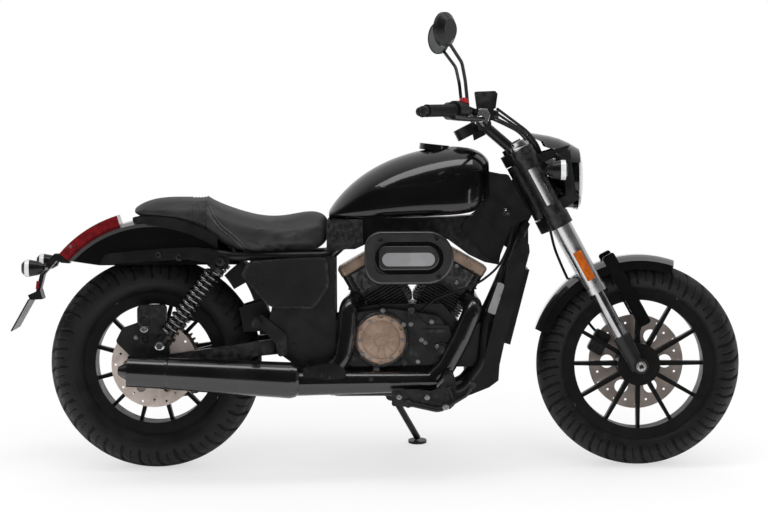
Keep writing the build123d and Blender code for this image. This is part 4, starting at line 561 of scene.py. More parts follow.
# %% [markdown]
# ## Lamp glass
#
# A lens is coloured plastic with a mirror bowl behind it. Real refraction through several
# thin shells is slow and noisy, so the red and orange lenses are a glossy coloured
# surface, mottled between a bright and a deep shade, with a fine ribbed bump like the
# lines moulded inside a lens. The headlamp's glass lets a quarter of the light through.


# %% lens(): red, orange and clear lamp plastic
RIB_BUMP_MM = 0.3
WAVE_RADIANS = 20      # what a wave texture at a scale of 1 turns through in a metre


def lens(name, bright, deep, transmission, rib_step, rough, coat):
    """Lamp plastic in two depths of colour, with ribs that turn one radian every rib_step mm."""
    made = blank_material(name)
    tree = made.node_tree
    shader = tree.nodes.new("ShaderNodeBsdfPrincipled")
    shader.inputs["Transmission Weight"].default_value = transmission
    shader.inputs["IOR"].default_value = 1.5
    shader.inputs["Coat Weight"].default_value = coat
    shader.inputs["Coat Roughness"].default_value = 0.02
    wave = tree.nodes.new("ShaderNodeTexWave")
    wave.bands_direction = "Y"
    wave.inputs["Scale"].default_value = 1000 / rib_step / WAVE_RADIANS
    link(tree, object_coords(tree), wave.inputs["Vector"])
    surface = place_group(tree, grain, Size_mm=2.0, Mottle_mm=12.0)
    link(tree, mix_colour(tree, surface.outputs["Mottle"], bright, deep), shader.inputs["Base Color"])
    link(tree, remap(tree, surface.outputs["Mottle"], 0.0, 1.0, *rough), shader.inputs["Roughness"])
    close_tree(tree, shader, wave.outputs["Fac"], RIB_BUMP_MM)
    return made


LENSES = [
    # name, bright colour, deep colour, transmission, rib step mm, (lowest, highest) roughness, coat
    ("red_lens", (0.20, 0.006, 0.009), (0.10, 0.003, 0.005), 0.0, 6.0, (0.14, 0.2), 0.35),
    ("orange_lens", (0.52, 0.115, 0.008), (0.36, 0.07, 0.005), 0.0, 3.0, (0.12, 0.18), 0.6),
    # painted reflection: the pale colour stands for the bowl's light seen through clear glass
    ("clear_lens", (0.86, 0.87, 0.88), (0.76, 0.78, 0.79), 0.25, 8.0, (0.08, 0.14), 1.0),
]
for row in LENSES:
    FINISHES[row[0]] = lens(*row)
print("lenses:", ", ".join(row[0] for row in LENSES))

# %% [markdown]
# ## Dressing the CAD pieces
#
# The record says which finish each CAD piece takes, and a loop puts the matching material
# in the piece's slot. A few pieces look different from the others of their kind, such
# as the exhaust or the brake discs, so a short table gives those a finish of their own.

# %% Put a finish on every CAD piece
OTHER_FINISH = {
    "shock_springs": "spring_chrome",
    "exhaust": "exhaust_black",
    "fender_struts": "exhaust_black",
    "front_rim": "rim_black",
    "rear_rim": "rim_black",
    "side_covers": "cover_black",
    "front_disc": "disc_steel",
    "rear_disc": "disc_steel",
}
for row in frame["record"]["subparts"]:
    mesh = nodes[row["node"]].data
    mesh.materials.clear()
    mesh.materials.append(FINISHES[OTHER_FINISH.get(row["node"], row["material_slot"])])

# %% [markdown]
# ## Making a piece
#
# The pieces below are drawn as bare geometry with bmesh, on the upright machine and in
# millimetres. `dress()` then does the same few things for each of them: it leans the
# drawing into place, turns its faces outward, gives it its finish, smooths every edge
# that is not a real corner, and lets it ride on the body that carries it.


# %% dress(): a drawing becomes a piece
def dress(name, drawing, finish_name, body, replaced=(), corner=35.0):
    """Leans a bmesh drawing into place and makes it a finished piece on a body."""
    drawing.transform(MACHINE)
    bmesh.ops.recalc_face_normals(drawing, faces=drawing.faces)
    mesh = bpy.data.meshes.new(name)
    drawing.to_mesh(mesh)
    drawing.free()
    mesh.materials.append(FINISHES[finish_name])
    mesh.polygons.foreach_set("use_smooth", [True] * len(mesh.polygons))
    mesh.set_sharp_from_angle(angle=math.radians(corner))
    made = bpy.data.objects.new(name, mesh)
    bpy.context.scene.collection.objects.link(made)
    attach(made, body)
    if replaced:
        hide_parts(*replaced)
    print(name, "-", len(mesh.polygons), "faces")
    return made


# %% [markdown]
# ### Skins and turned parts
#
# Two tools draw most of what follows. `grid()` joins rows of points into a skin, as
# planks join a boat's ribs. `lathe()` turns a profile about a line, as a lathe shapes a
# bar, which suits rings, screws, caps, grips and bowls: a profile of a few points says
# the whole form.


# %% grid() and lathe()
def grid(drawing, rows, close_rows=True, close_ends=False):
    """Joins rows of points into a skin of quads; the rows may close on themselves."""
    made = [[drawing.verts.new(point) for point in row] for row in rows]
    last = len(made) if close_rows else len(made) - 1
    for index in range(last):
        here, there = made[index], made[(index + 1) % len(made)]
        count = len(here) if close_ends else len(here) - 1
        for k in range(count):
            drawing.faces.new((here[k], here[(k + 1) % len(here)], there[(k + 1) % len(here)], there[k]))
    return made


def across(direction):
    """Two directions square to the given one."""
    side = direction.cross(Vector((0, 0, 1)) if abs(direction.z) < 0.9 else Vector((1, 0, 0))).normalized()
    return side, direction.cross(side).normalized()


LEAST_RADIUS = 0.01      # mm: a point on the axis keeps this radius, so that no face closes up


def lathe(drawing, profile, centre, direction, steps=32):
    """Turns a profile of (radius, distance along) about a line from centre."""
    centre, direction = Vector(centre), Vector(direction).normalized()
    side, up = across(direction)
    rows = []
    for index in range(steps):
        angle = 2 * math.pi * index / steps
        out = side * math.cos(angle) + up * math.sin(angle)
        rows.append([centre + direction * run + out * max(r, LEAST_RADIUS) for r, run in profile])
    grid(drawing, rows)


trial = bmesh.new()
lathe(trial, [(0, 0), (5, 0), (5, 10), (0, 10)], (0, 0, 0), (0, 0, 1))
print("a plain pin from the lathe has", len(trial.faces), "faces")
trial.free()

# %% [markdown]
# ## Tyres
#
# A cruiser's tyre has a round crown, because the machine leans into bends. Water has to
# leave sideways, so the tread has a groove on each side of the middle and slanted
# grooves that run out over the shoulders. Modelling each block would take hours. Here
# the tyre is one skin turned about the axle, and a small function says how deep the
# rubber is cut at any angle and width. The skin is fine enough to show each groove's
# walls. The sidewall gets two raised rings, as the moulds leave them.
#
# `soft_step()` and `groove()` give a ramp and a valley, which is all a tread needs.

# %% The depth of the tread at a point
GROOVE_DEPTH, GROOVE_RAMP = 6.5, 1.8                      # mm
MIDDLE_GROOVE, MIDDLE_HALF, MIDDLE_WAVE = 12.0, 2.4, 2.5  # from the tyre's middle, half width, sway
SLANT_FROM, SLANT_TO, SLANT_FADE = 18.0, 104.0, 8.0       # where the slanted grooves start and run out
SLANT_HALF, SLANT_TAPER = 3.8, 0.6                        # half width, and what it loses on its way out
BLOCK = 58.0                                              # from one slanted groove to the next
SHORT_FROM, SHORT_TO, SHORT_HALF, SHORT_DEPTH = 0.35, 0.85, 1.6, 0.6      # the short cuts between them


def soft_step(value, edge, width):
    """0 below the edge and 1 above it, with a ramp of the given width."""
    t = min(max((value - edge) / width + 0.5, 0.0), 1.0)
    return t * t * (3 - 2 * t)


def groove(distance, half):
    """1 in the middle of a groove and 0 outside it."""
    return 1 - soft_step(abs(distance), half, GROOVE_RAMP)


def tread_depth(turn_share, out, side, slants):
    """How deep the tread is cut, in mm, at a share of the turn and `out` from the middle."""
    wave = MIDDLE_WAVE * math.sin(2 * math.pi * turn_share * slants)
    cuts = groove(out - MIDDLE_GROOVE - wave, MIDDLE_HALF)
    if SLANT_FROM < out < SLANT_TO:
        bend = (out - SLANT_FROM) / (SLANT_TO - SLANT_FROM)
        shift = (0.5 if side > 0 else 0.0) + 0.9 * bend - 0.5 * bend * bend
        spot = (turn_share * slants + shift) % 1.0
        fade = 1 - soft_step(out, SLANT_TO - SLANT_FADE / 2, SLANT_FADE)
        cuts = max(cuts, groove((spot - 0.5) * BLOCK, SLANT_HALF - SLANT_TAPER * bend) * fade)
        if SHORT_FROM < bend < SHORT_TO:
            half_spot = (spot + 0.5) % 1.0
            cuts = max(cuts, SHORT_DEPTH * groove((half_spot - 0.5) * BLOCK, SHORT_HALF))
    return GROOVE_DEPTH * cuts


print("the middle groove is", round(tread_depth(0.0, MIDDLE_GROOVE, 1, 32), 1), "mm deep")

# %% [markdown]
# ### The tyre's section
#
# Cut across, a tyre is a few arcs: a round crown, and on each side one bulging wall down
# to the bead that grips the rim. An arc through three points is easy to read and to
# change, so the section is made from those.


# %% An arc through three points


def arc_through(a, b, c, steps):
    """Points of the arc that runs from a through b to c, as (radius, y)."""
    (ax, ay), (bx, by), (cx, cy) = a, b, c
    d = 2 * (ax * (by - cy) + bx * (cy - ay) + cx * (ay - by))
    ux = ((ax**2 + ay**2) * (by - cy) + (bx**2 + by**2) * (cy - ay) + (cx**2 + cy**2) * (ay - by)) / d
    uy = ((ax**2 + ay**2) * (cx - bx) + (bx**2 + by**2) * (ax - cx) + (cx**2 + cy**2) * (bx - ax)) / d
    radius = math.hypot(ax - ux, ay - uy)
    first, middle, last = (math.atan2(y - uy, x - ux) for x, y in (a, b, c))
    sweep = (last - first) % (2 * math.pi)
    if (middle - first) % (2 * math.pi) > sweep:
        sweep -= 2 * math.pi
    angles = [first + sweep * k / steps for k in range(steps + 1)]
    return [(ux + radius * math.cos(angle), uy + radius * math.sin(angle)) for angle in angles]


half_round = arc_through((0, -9), (9, 0), (0, 9), 4)
print("half a circle in four steps:", [(round(r), round(y)) for r, y in half_round])

# %% Building both tyres
CROWN_ROUND, CROWN_HALF, BEAD = 66.0, 40.0, 33.0      # the crown's radius and half width, the rim's flange
TREAD_STEPS, WALL_STEPS, TURN_STEPS = 44, 30, 640
RING_PROUD, RING_LOW, RING_HIGH = 0.9, 9, 18          # the moulded rings, above the bead and below the bulge
SLANTS = 32


def tyre(name, centre, radius, width, rim_r, body, replaced):
    """One tyre: its section's arcs, cut by the tread and turned about the axle."""
    crown = radius - CROWN_ROUND + math.sqrt(CROWN_ROUND**2 - CROWN_HALF**2)
    bead, seat = rim_r + BEAD, width * 0.36
    bulge = (crown + bead) / 2 + 4
    tread = arc_through((crown, CROWN_HALF), (radius, 0), (crown, -CROWN_HALF), TREAD_STEPS)
    wall = arc_through((crown, -CROWN_HALF), (bulge, -width / 2), (bead, -seat), WALL_STEPS)
    section = [(r, -y) for r, y in reversed(wall)][:-1] + tread + wall[1:]
    middle = len(section) // 2
    outs = [0.0] * len(section)
    for k in range(middle + 1, len(section)):
        outs[k] = outs[k - 1] + math.dist(section[k], section[k - 1])
        outs[2 * middle - k] = outs[k]
    rows = []
    for index in range(TURN_STEPS):
        share = index / TURN_STEPS
        angle = 2 * math.pi * share
        row = []
        for (r, y), out in zip(section, outs):
            cut = tread_depth(share, out, y, SLANTS) if out < SLANT_TO else 0.0
            rings = groove(r - bulge + RING_HIGH, 1.2) + groove(r - bead - RING_LOW, 1.0)
            proud = RING_PROUD * rings if out > SLANT_TO else 0.0
            deep = Vector((r - bulge + 12, y * 0.8)).normalized()
            r, y = r - deep.x * cut, y - deep.y * cut + math.copysign(proud, y)
            row.append(centre + Vector((r * math.cos(angle), y, r * math.sin(angle))))
        rows.append(row)
    drawing = bmesh.new()
    grid(drawing, rows)
    dress(name, drawing, "tyre_rubber", body, [replaced], corner=60)


# name, axle, radius, width, rim's radius, body, CAD tyre
tyre("front_tread", FRONT_AXLE, FRONT_RADIUS, 120, 189, "front_wheel", "front_tyre")
tyre("rear_tread", REAR_AXLE, REAR_RADIUS, 150, 175, "rear_wheel", "rear_tyre")

# %% [markdown]
# ## The seat
#
# The seat is foam under tight leather. A hard solid looks wrong here: real padding swells
# between its seams. Blender's cloth can blow the cover up from inside. The CAD's plain
# seat is remeshed to an even net of small quads, drawn in a little, and inflated with
# a gentle pressure and no gravity for twenty frames. How far a point may move is capped,
# so the seat stays the CAD's size. The seams come after, because the remesh would
# swallow them.

# %% A net of even quads from the CAD's seat
NET_SIZE = 0.0055      # metres
seat_mesh = nodes["seat"].data.copy()
seat_mesh.name = "seat_cushion"
cushion = bpy.data.objects.new("seat_cushion", seat_mesh)
bpy.context.scene.collection.objects.link(cushion)


def apply_modifiers(target):
    """Replaces an object's mesh by what its modifiers make of it."""
    shaped = bpy.data.meshes.new_from_object(target.evaluated_get(bpy.context.evaluated_depsgraph_get()))
    target.modifiers.clear()
    target.data = shaped


net = cushion.modifiers.new("net", "REMESH")
net.mode, net.voxel_size, net.use_smooth_shade = "VOXEL", NET_SIZE, True
apply_modifiers(cushion)
print("seat net:", len(cushion.data.vertices), "points")

# %% Draw it in and inflate it
DRAWN_IN, PUFF_CAP = 0.004, 0.009      # metres
PRESSURE, STRETCH_STIFF, BEND_STIFF, LAST_FRAME = 4.0, 20.0, 2.0, 20
for vertex, normal in zip(cushion.data.vertices, [vertex.normal.copy() for vertex in cushion.data.vertices]):
    vertex.co -= normal * DRAWN_IN
start = [vertex.co.copy() for vertex in cushion.data.vertices]
cloth = cushion.modifiers.new("foam", "CLOTH")
cloth.settings.use_pressure, cloth.settings.uniform_pressure_force = True, PRESSURE
cloth.settings.effector_weights.gravity = 0.0
cloth.settings.tension_stiffness = cloth.settings.compression_stiffness = STRETCH_STIFF
cloth.settings.bending_stiffness = BEND_STIFF
cloth.point_cache.frame_start, cloth.point_cache.frame_end = 1, LAST_FRAME
for step in range(1, LAST_FRAME + 1):
    bpy.context.scene.frame_set(step)
apply_modifiers(cushion)
bpy.context.scene.frame_set(1)
largest = 0.0
for vertex, first in zip(cushion.data.vertices, start):
    move = vertex.co - first
    if move.length > PUFF_CAP:
        vertex.co = first + move * (PUFF_CAP / move.length)
    largest = max(largest, (vertex.co - first).length)
print("the cover moved up to", round(largest * 1000, 1), "mm")

# %% [markdown]
# ### Seams and pleats
#
# A saddle cover is cut in panels. A seam runs down each side from the step of the
# rider's seat, and the step is pleated so that the leather bends there without
# creasing. Each seam is a shallow valley pressed into the net. The valley's depth is a
# function of the distance to the seam's line, so the net only moves near it. Before
# that, every face of the net is cut in four and the points are smoothed, or the narrow
# valleys would come out jagged.

# %% How deep the seams and pleats are pressed in
UPRIGHT = MACHINE.inverted()
# the side seam, seen from the side: points (x, z) on the upright machine, top to bottom
SIDE_SEAM = [(-548, 770), (-533, 742), (-508, 712), (-480, 690), (-455, 668), (-430, 640)]
SEAM_DEPTH, SEAM_WIDTH, SEAM_END = 4.0, 7.5, 5
PLEAT_PLACES, PLEAT_DEPTH, PLEAT_WIDTH, PLEATS_ABOVE = (-594, -585, -576, -567, -558), 2.6, 2.8, 700


def distance_to_line(x, z, line):
    """The distance in the side view from a point to a seam's line."""
    best = 1e9
    for (ax, az), (bx, bz) in zip(line, line[1:]):
        share = ((x - ax) * (bx - ax) + (z - az) * (bz - az)) / ((bx - ax)**2 + (bz - az)**2)
        run = max(0.0, min(1.0, share))
        best = min(best, math.hypot(x - ax - run * (bx - ax), z - az - run * (bz - az)))
    return best


def pressed(x, z):
    """How deep the cover is pressed in at a point, in mm."""
    depth = 0.0
    if z > SIDE_SEAM[-1][1] - SEAM_END:
        away = distance_to_line(x, z, SIDE_SEAM)
        depth = SEAM_DEPTH * math.exp(-(away / SEAM_WIDTH)**2)
    if z > PLEATS_ABOVE:
        for place in PLEAT_PLACES:
            depth = max(depth, PLEAT_DEPTH * math.exp(-((x - place) / PLEAT_WIDTH)**2))
    return depth


print("pressed in at the seam:", round(pressed(*SIDE_SEAM[2]), 1), "mm")

# %% Press them into the cover
shaped = bmesh.new()
shaped.from_mesh(cushion.data)
bmesh.ops.subdivide_edges(shaped, edges=shaped.edges, cuts=1, use_grid_fill=True)
for _ in range(2):
    bmesh.ops.smooth_vert(shaped, verts=shaped.verts, factor=0.5,
                          use_axis_x=True, use_axis_y=True, use_axis_z=True)
shaped.normal_update()
for vertex in shaped.verts:
    spot = UPRIGHT @ vertex.co
    vertex.co -= vertex.normal * (pressed(spot.x, spot.z) * 0.001)
shaped.to_mesh(cushion.data)
shaped.free()
cushion.data.materials.clear()
cushion.data.materials.append(FINISHES["seat_cover"])
cushion.data.polygons.foreach_set("use_smooth", [True] * len(cushion.data.polygons))
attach(cushion, "root")
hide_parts("seat")
print("seat:", len(cushion.data.polygons), "faces")

# %% [markdown]
# ### Stitches
#
# Two rows of thread hold a seam, one on each side of it. A stitch is a short thread that
# dives into the leather at both ends. Each is a small bent tube, laid on the cover by a
# ray, and a walk along the seam sets them one after the other. A texture would be
# lighter, but these hold up close to and cast their own small shadows.

# %% One stitch, and the ray that lays it on the seat
FAR_OUT = 400      # mm: a ray starts this far from the middle, outside everything

seat_skin = BVHTree.FromObject(cushion, bpy.context.evaluated_depsgraph_get())


def on_seat(x, z, side, lift=0.6):
    """The point of the cover at x, z seen from one side, lifted off it, and its normal."""
    start = MACHINE @ Vector((x, side * FAR_OUT, z))
    aim = (MACHINE @ Vector((x, 0, z)) - start).normalized()
    spot, normal, _, _ = seat_skin.ray_cast(start, aim)
    if spot is None:
        return None
    return UPRIGHT @ (spot + normal * (lift * 0.001)), (UPRIGHT.to_3x3() @ normal).normalized()


def stitch(drawing, a, b, normal, r):
    """One stitch: a short thread, sunk at both ends and proud in the middle."""
    rows = []
    run = (b - a)
    side = run.cross(normal).normalized()
    for k in range(6):
        t = k / 5
        middle = a + run * t + normal * (math.sin(math.pi * t) * r * 1.2 - r * 0.6)
        girth = r * (0.55 + 0.45 * math.sin(math.pi * t))
        turns = [w * math.pi / 3 for w in range(6)]
        rows.append([middle + side * (math.cos(w) * girth) + normal * (math.sin(w) * girth) for w in turns])
    grid(drawing, rows, close_rows=False, close_ends=True)


print("the seam's middle is on the seat:", on_seat(*SIDE_SEAM[2], -1) is not None)

# %% Lay the stitches beside the seam
STITCH, THREAD_R, SEAM_TO_THREAD, THREAD_SHARE = 7.0, 1.1, 5.0, 0.72


def beside(line, offset):
    """Points a stitch apart along a line of (x, z), moved sideways by the offset."""
    walk = []
    for (ax, az), (bx, bz) in zip(line, line[1:]):
        length = math.hypot(bx - ax, bz - az)
        count = max(1, int(length / STITCH))
        out_x, out_z = (bz - az) / length * offset, -(bx - ax) / length * offset
        shares = [k / count for k in range(count)]
        walk += [(ax + (bx - ax) * share + out_x, az + (bz - az) * share + out_z) for share in shares]
    return walk


threads = bmesh.new()
for side in (-1, 1):
    for offset in (-SEAM_TO_THREAD, SEAM_TO_THREAD):
        walk = beside(SIDE_SEAM, offset)
        for (ax, az), (bx, bz) in zip(walk, walk[1:]):
            first = on_seat(ax, az, side)
            second = on_seat(ax + (bx - ax) * THREAD_SHARE, az + (bz - az) * THREAD_SHARE, side)
            if first and second and (first[0] - second[0]).length < STITCH * 2:
                stitch(threads, first[0], second[0], first[1], THREAD_R)
dress("seat_stitching", threads, "thread", "root", corner=80)

# %% [markdown]
# ## Small parts: bolts, rings and plates
#
# A machine looks real through its small parts: bolt heads, washers, rings and screws.
# They all come from one tool, a small lathe. Each bolt is set on the surface under it,
# found by a ray shot from outside toward the machine's middle, so it never floats and
# never sinks. The bolts of one area are joined into one piece.

# %% A ray finds the surface that carries a small part
SEAT_RAY = 420      # mm from the middle to where the ray starts


def skin_of(*names):
    """One search tree over the CAD nodes given."""
    joined = bmesh.new()
    for name in names:
        joined.from_mesh(nodes[name].data)
    found = BVHTree.FromBMesh(joined)
    joined.free()
    return found


def seat_on(skin, x, z, side):
    """Where a line from outside at x, z meets the skin, and the way it faces, upright."""
    aim = Vector((0, -side, 0))
    start = Vector((x, 0, z)) - aim * SEAT_RAY
    spot, normal, _, _ = skin.ray_cast(MACHINE @ start, (STAND.to_3x3() @ aim).normalized())
    if spot is None:
        return None
    return UPRIGHT @ spot, (UPRIGHT.to_3x3() @ normal).normalized()


engine_skin = skin_of("crankcase", "engine_covers", "cylinders")
CLUTCH, LEFT_COVER = (-47, 385), (56, 368)      # the middles of two round covers, as x and z
print("the clutch cover's face is at y =", round(seat_on(engine_skin, *CLUTCH, -1)[0].y, 1), "mm")

# %% [markdown]
# ### Screws, bolts and rings
#
# A cap screw is round with a socket in its end, and a flanged bolt is a hexagon on a
# disc. Both are profiles for the lathe: a hexagon is only a lathe with six steps. Real
# threads don't show, so there are none.


# %% Screw, bolt and ring
def cap_screw(drawing, place, out, r):
    """A round-headed screw with a round socket, on a thin washer."""
    profile = [(0, 0), (r * 1.35, 0), (r * 1.35, 1.0), (r * 1.25, 1.4), (r, 1.4), (r, r * 1.1),
               (r * 0.9, r * 1.25), (r * 0.5, r * 1.25), (r * 0.5, r * 0.7), (0, r * 0.7)]
    lathe(drawing, profile, place, out, 18)


def hex_bolt(drawing, place, out, r):
    """A flanged hexagon head."""
    lathe(drawing, [(0, 0), (r * 1.3, 0), (r * 1.3, 1.2), (r * 1.0, 2.2), (0, 2.2)], place, out, 20)
    lathe(drawing, [(0, 2.0), (r, 2.0), (r, r * 0.95), (r * 0.85, r * 1.1), (0, r * 1.1)], place, out, 6)


def ring(drawing, place, out, r, thick, height):
    """A plain raised ring with soft edges."""
    profile = [(r - thick, 0), (r - thick, height * 0.8), (r - thick * 0.8, height),
               (r - thick * 0.2, height), (r, height * 0.8), (r, 0)]
    lathe(drawing, profile, place, out, 32)


SUNK = 0.3      # mm: a screw's foot goes this far into what carries it


def scatter(name, finish_name, body, skin, kind, rows):
    """Sets one kind of small part at each row's x, z, side and radius."""
    drawing, lost = bmesh.new(), 0
    for x, z, side, r in rows:
        found = seat_on(skin, x, z, side)
        if found is None:
            lost += 1
            continue
        kind(drawing, found[0] - found[1] * SUNK, Vector((0, side, 0)), r)
    print(name, "set", len(rows) - lost, "of", len(rows))
    return dress(name, drawing, finish_name, body)


# %% [markdown]
# ### The engine's bolts
#
# Every cover on the engine is held by bolts round its edge. Round covers have theirs
# evenly spaced on a circle, which a small function works out. The right cover has an
# uneven edge, so its bolts come from a short list of places.


# %% Engine bolts
def round_of(centre, radius, first, side, size):
    """Six places at even angles round a centre, from the first angle, as rows for scatter()."""
    angles = [math.radians(first + 60 * k) for k in range(6)]
    return [(centre[0] + radius * math.cos(a), centre[1] + radius * math.sin(a), side, size) for a in angles]


RIGHT_BOLTS = [(19, 428), (40, 429), (100, 436), (70, 383), (82, 375), (116, 365), (-41, 468), (60, 320),
               (-100, 345), (-122, 420)]
HEAD_BOLTS = [(175, 594, -1, 4.5), (175, 545, -1, 4.5), (-103, 594, 1, 4.5), (-103, 545, 1, 4.5)]
ENGINE_BOLTS = [
    # name, kind, rows of x, z, side and radius
    ("cover_bolts_right", cap_screw, [(x, z, -1, 5.0) for x, z in RIGHT_BOLTS]),
    ("cover_bolts_left", cap_screw, round_of(LEFT_COVER, 76, 30, 1, 4.2)),
    ("head_bolts", hex_bolt, HEAD_BOLTS),
    ("clutch_screws", cap_screw, round_of(CLUTCH, 62, 0, -1, 4.0)),
]
for name, kind, rows in ENGINE_BOLTS:
    scatter(name, "bolt_zinc", "root", engine_skin, kind, rows)

# %% [markdown]
# ## Lamps
#
# A headlamp is a bowl of bright metal behind a clear glass. Clear glass over a flat
# disc looks like a painted button, so the lamp gets a shallow bowl with the bulb's
# round cap in its middle. The glass is the CAD's own lens. The bowl stands just inside
# it, turned about the lamp's axis. A thin black rim holds the glass.

# %% Headlamp bowl, bulb cap and rim
LAMP, AHEAD = Vector((532, 0, 843)), Vector((1, 0, 0))
BOWL_R, BULB_R = 70, 18
slope = [(BOWL_R - (BOWL_R - BULB_R) * t, 0.5 - 1.5 * t) for t in (0, 0.33, 0.66, 1)]
drawing = bmesh.new()
lathe(drawing, [(80, 1), (80, -2), (72, -3)] + slope + [(BULB_R, 3), (0, 3)], LAMP, AHEAD, 64)
dress("headlamp_bowl", drawing, "lamp_metal", "steering", corner=25)
drawing = bmesh.new()
ring(drawing, LAMP - AHEAD, AHEAD, 90.5, 5.5, 3.4)
dress("headlamp_rim", drawing, "gloss_black", "steering")

# %% [markdown]
# ## Grips
#
# A grip is a rubber sleeve with ribs round it and a collar at its inner end, and a black
# weight closes the bar's end. Ribs that go round are a lathe with a wavy profile, so a
# loop writes the profile and both grips are turned from it.

# %% Grips
GRIP_FROM, GRIP_TO, GRIP_R = Vector((161.0, 337.6, 1046.3)), Vector((84.0, 429.6, 1045.0)), 17.0
RIBS, FIRST_RIB, PLAIN_ENDS, BORE_R = 26, 8, 14, 12
grip_line = GRIP_TO - GRIP_FROM
length = grip_line.length
pitch = (length - PLAIN_ENDS) / RIBS
profile = [(BORE_R, 0), (GRIP_R + 2.2, 0), (GRIP_R + 2.2, 4), (GRIP_R - 0.6, 6)]
for k in range(RIBS):
    start = FIRST_RIB + k * pitch
    profile += [(GRIP_R - 1.0, start)] + [(GRIP_R + 0.2, start + pitch * share) for share in (0.3, 0.7)]
profile += [(GRIP_R - 1.0, length - 5), (GRIP_R + 1.0, length - 3), (GRIP_R + 1.0, length), (BORE_R, length)]
BAR_END = [(0, -2), (13, -2), (14, 0), (14, 14), (12.5, 16), (6, 16), (5, 14), (0, 14)]
drawing, ends = bmesh.new(), bmesh.new()
for side in (-1, 1):
    place = Vector((GRIP_FROM.x, side * GRIP_FROM.y, GRIP_FROM.z))
    along = Vector((grip_line.x, side * grip_line.y, grip_line.z)).normalized()
    lathe(drawing, profile, place, along, 36)
    lathe(ends, BAR_END, place + along * (length + 0.2), along, 28)
dress("ribbed_grips", drawing, "rubber", "steering", ["grips"], corner=50)
dress("bar_ends", ends, "satin_black", "steering")

# %% [markdown]
# ## Mirrors
#
# A mirror is glass in a rim, turned a little outward. The glass is a disc of dark
# polished metal, which mirrors the room as the real one does. It lies a little inside a
# raised rim, so that the rim draws a line round it.

# %% Mirror glass and rims
MIRROR_X, MIRROR_Y, MIRROR_Z = 140.0, 405.0, 1271.0
glass, rims = bmesh.new(), bmesh.new()
for side in (-1, 1):
    out = Vector((0.8, side * 0.6, 0))
    centre = Vector((MIRROR_X, side * MIRROR_Y, MIRROR_Z))
    lathe(glass, [(0, 0.6), (45.5, 0.6), (46, -0.4)], centre - out * 8, -out, 56)
    ring(rims, centre - out * 7.5, -out, 49.4, 3.4, 2.6)
dress("mirror_glass", glass, "looking_glass", "steering")
dress("mirror_rims", rims, "satin_black", "steering")

# %% [markdown]
# ## The instrument
#
# The round instrument has a black face under a raised bezel, with ticks round three
# quarters of a circle and a red needle. The ticks are thin raised bars: a loop turns
# them round the middle, and every fifth one is longer and wider.

# %% Bezel and face
TILT = math.radians(27)
DIAL_R, FACE_R = 34.4, 30.4
face_up = Vector((-math.sin(TILT), 0, math.cos(TILT)))
dial_c = Vector((208, 0, 984)) + face_up * 15
side_dir, up_dir = Vector((0, -1, 0)), face_up.cross(Vector((0, -1, 0)))
drawing = bmesh.new()
ring(drawing, dial_c - face_up * 0.5, face_up, DIAL_R, 4.2, 3.0)
dress("dial_bezel", drawing, "satin_black", "steering")
drawing = bmesh.new()
lathe(drawing, [(0, 0.5), (FACE_R, 0.5), (FACE_R + 0.2, 0)], dial_c, face_up, 48)
dress("dial_face", drawing, "dial_black", "steering")


# %% Ticks and needle
def bar(drawing, a, b, up, width, height):
    """A thin bar from a to b with its top narrower than its foot."""
    along, half = (b - a).normalized(), width / 2
    side = along.cross(up).normalized()
    foot = [a - side * half, a + side * half, b + side * half, b - side * half]
    top = [a - side * half * 0.7, a + side * half * 0.7, b + side * half * 0.7, b - side * half * 0.7]
    corners = [drawing.verts.new(p) for p in foot] + [drawing.verts.new(p + up * height) for p in top]
    for face in ((0, 1, 2, 3), (4, 5, 6, 7), (0, 1, 5, 4), (1, 2, 6, 5), (2, 3, 7, 6), (3, 0, 4, 7)):
        drawing.faces.new([corners[k] for k in face])


def on_dial(degrees):
    """The way out from the dial's middle at an angle, counted up from its right."""
    angle = math.radians(degrees)
    return side_dir * math.cos(angle) + up_dir * math.sin(angle)


TICKS, FIRST_TICK, SWEEP, TICK_OUT = 40, 225, 270, 28.5      # ticks after the first one, degrees, mm
drawing, tick_foot = bmesh.new(), face_up * 0.55
for k in range(TICKS + 1):
    out = on_dial(FIRST_TICK - k * SWEEP / TICKS)
    inner, width = (22.5, 1.3) if k % 5 == 0 else (25.5, 0.6)
    bar(drawing, dial_c + out * inner + tick_foot, dial_c + out * TICK_OUT + tick_foot, face_up, width, 0.3)
dress("dial_ticks", drawing, "white_print", "steering")
drawing, needle = bmesh.new(), on_dial(FIRST_TICK)
bar(drawing, dial_c - needle * 6 + face_up * 1.2, dial_c + needle * 25 + face_up * 1.2, face_up, 1.8, 0.5)
lathe(drawing, [(3.4, 0.6), (3.4, 2.2), (2.6, 2.6), (0, 2.6)], dial_c, face_up, 20)
dress("dial_needle", drawing, "red_lens", "steering")

# %% [markdown]
# ## Chain
#
# A roller chain is inner and outer plates in turn, joined by pins one pitch apart. Its
# line is two straight runs and two arcs, so a small walk along that line places each
# pin, and a plate is drawn between each pair. The link count is the line's length
# over the pitch, rounded to an even number, because inner and outer plates alternate.

# %% The chain's line and its pins
PITCH, CHAIN_Y, SMALL_TEETH, LARGE_TEETH = 15.875, 98.0, 16, 48
small_c, small_r = Vector((-140.0, 0, 380.0)), PITCH / (2 * math.sin(math.pi / SMALL_TEETH))
large_c, large_r = REAR_AXLE, PITCH / (2 * math.sin(math.pi / LARGE_TEETH))
gap = large_c - small_c
lean_of_line = math.atan2(gap.z, gap.x)
wrap = math.acos((small_r - large_r) / gap.length)


def arc_points(centre, r, first, last, count):
    """Evenly spaced points round part of a circle."""
    angles = [first + (last - first) * k / count for k in range(count + 1)]
    return [centre + Vector((math.cos(angle), 0, math.sin(angle))) * r for angle in angles]


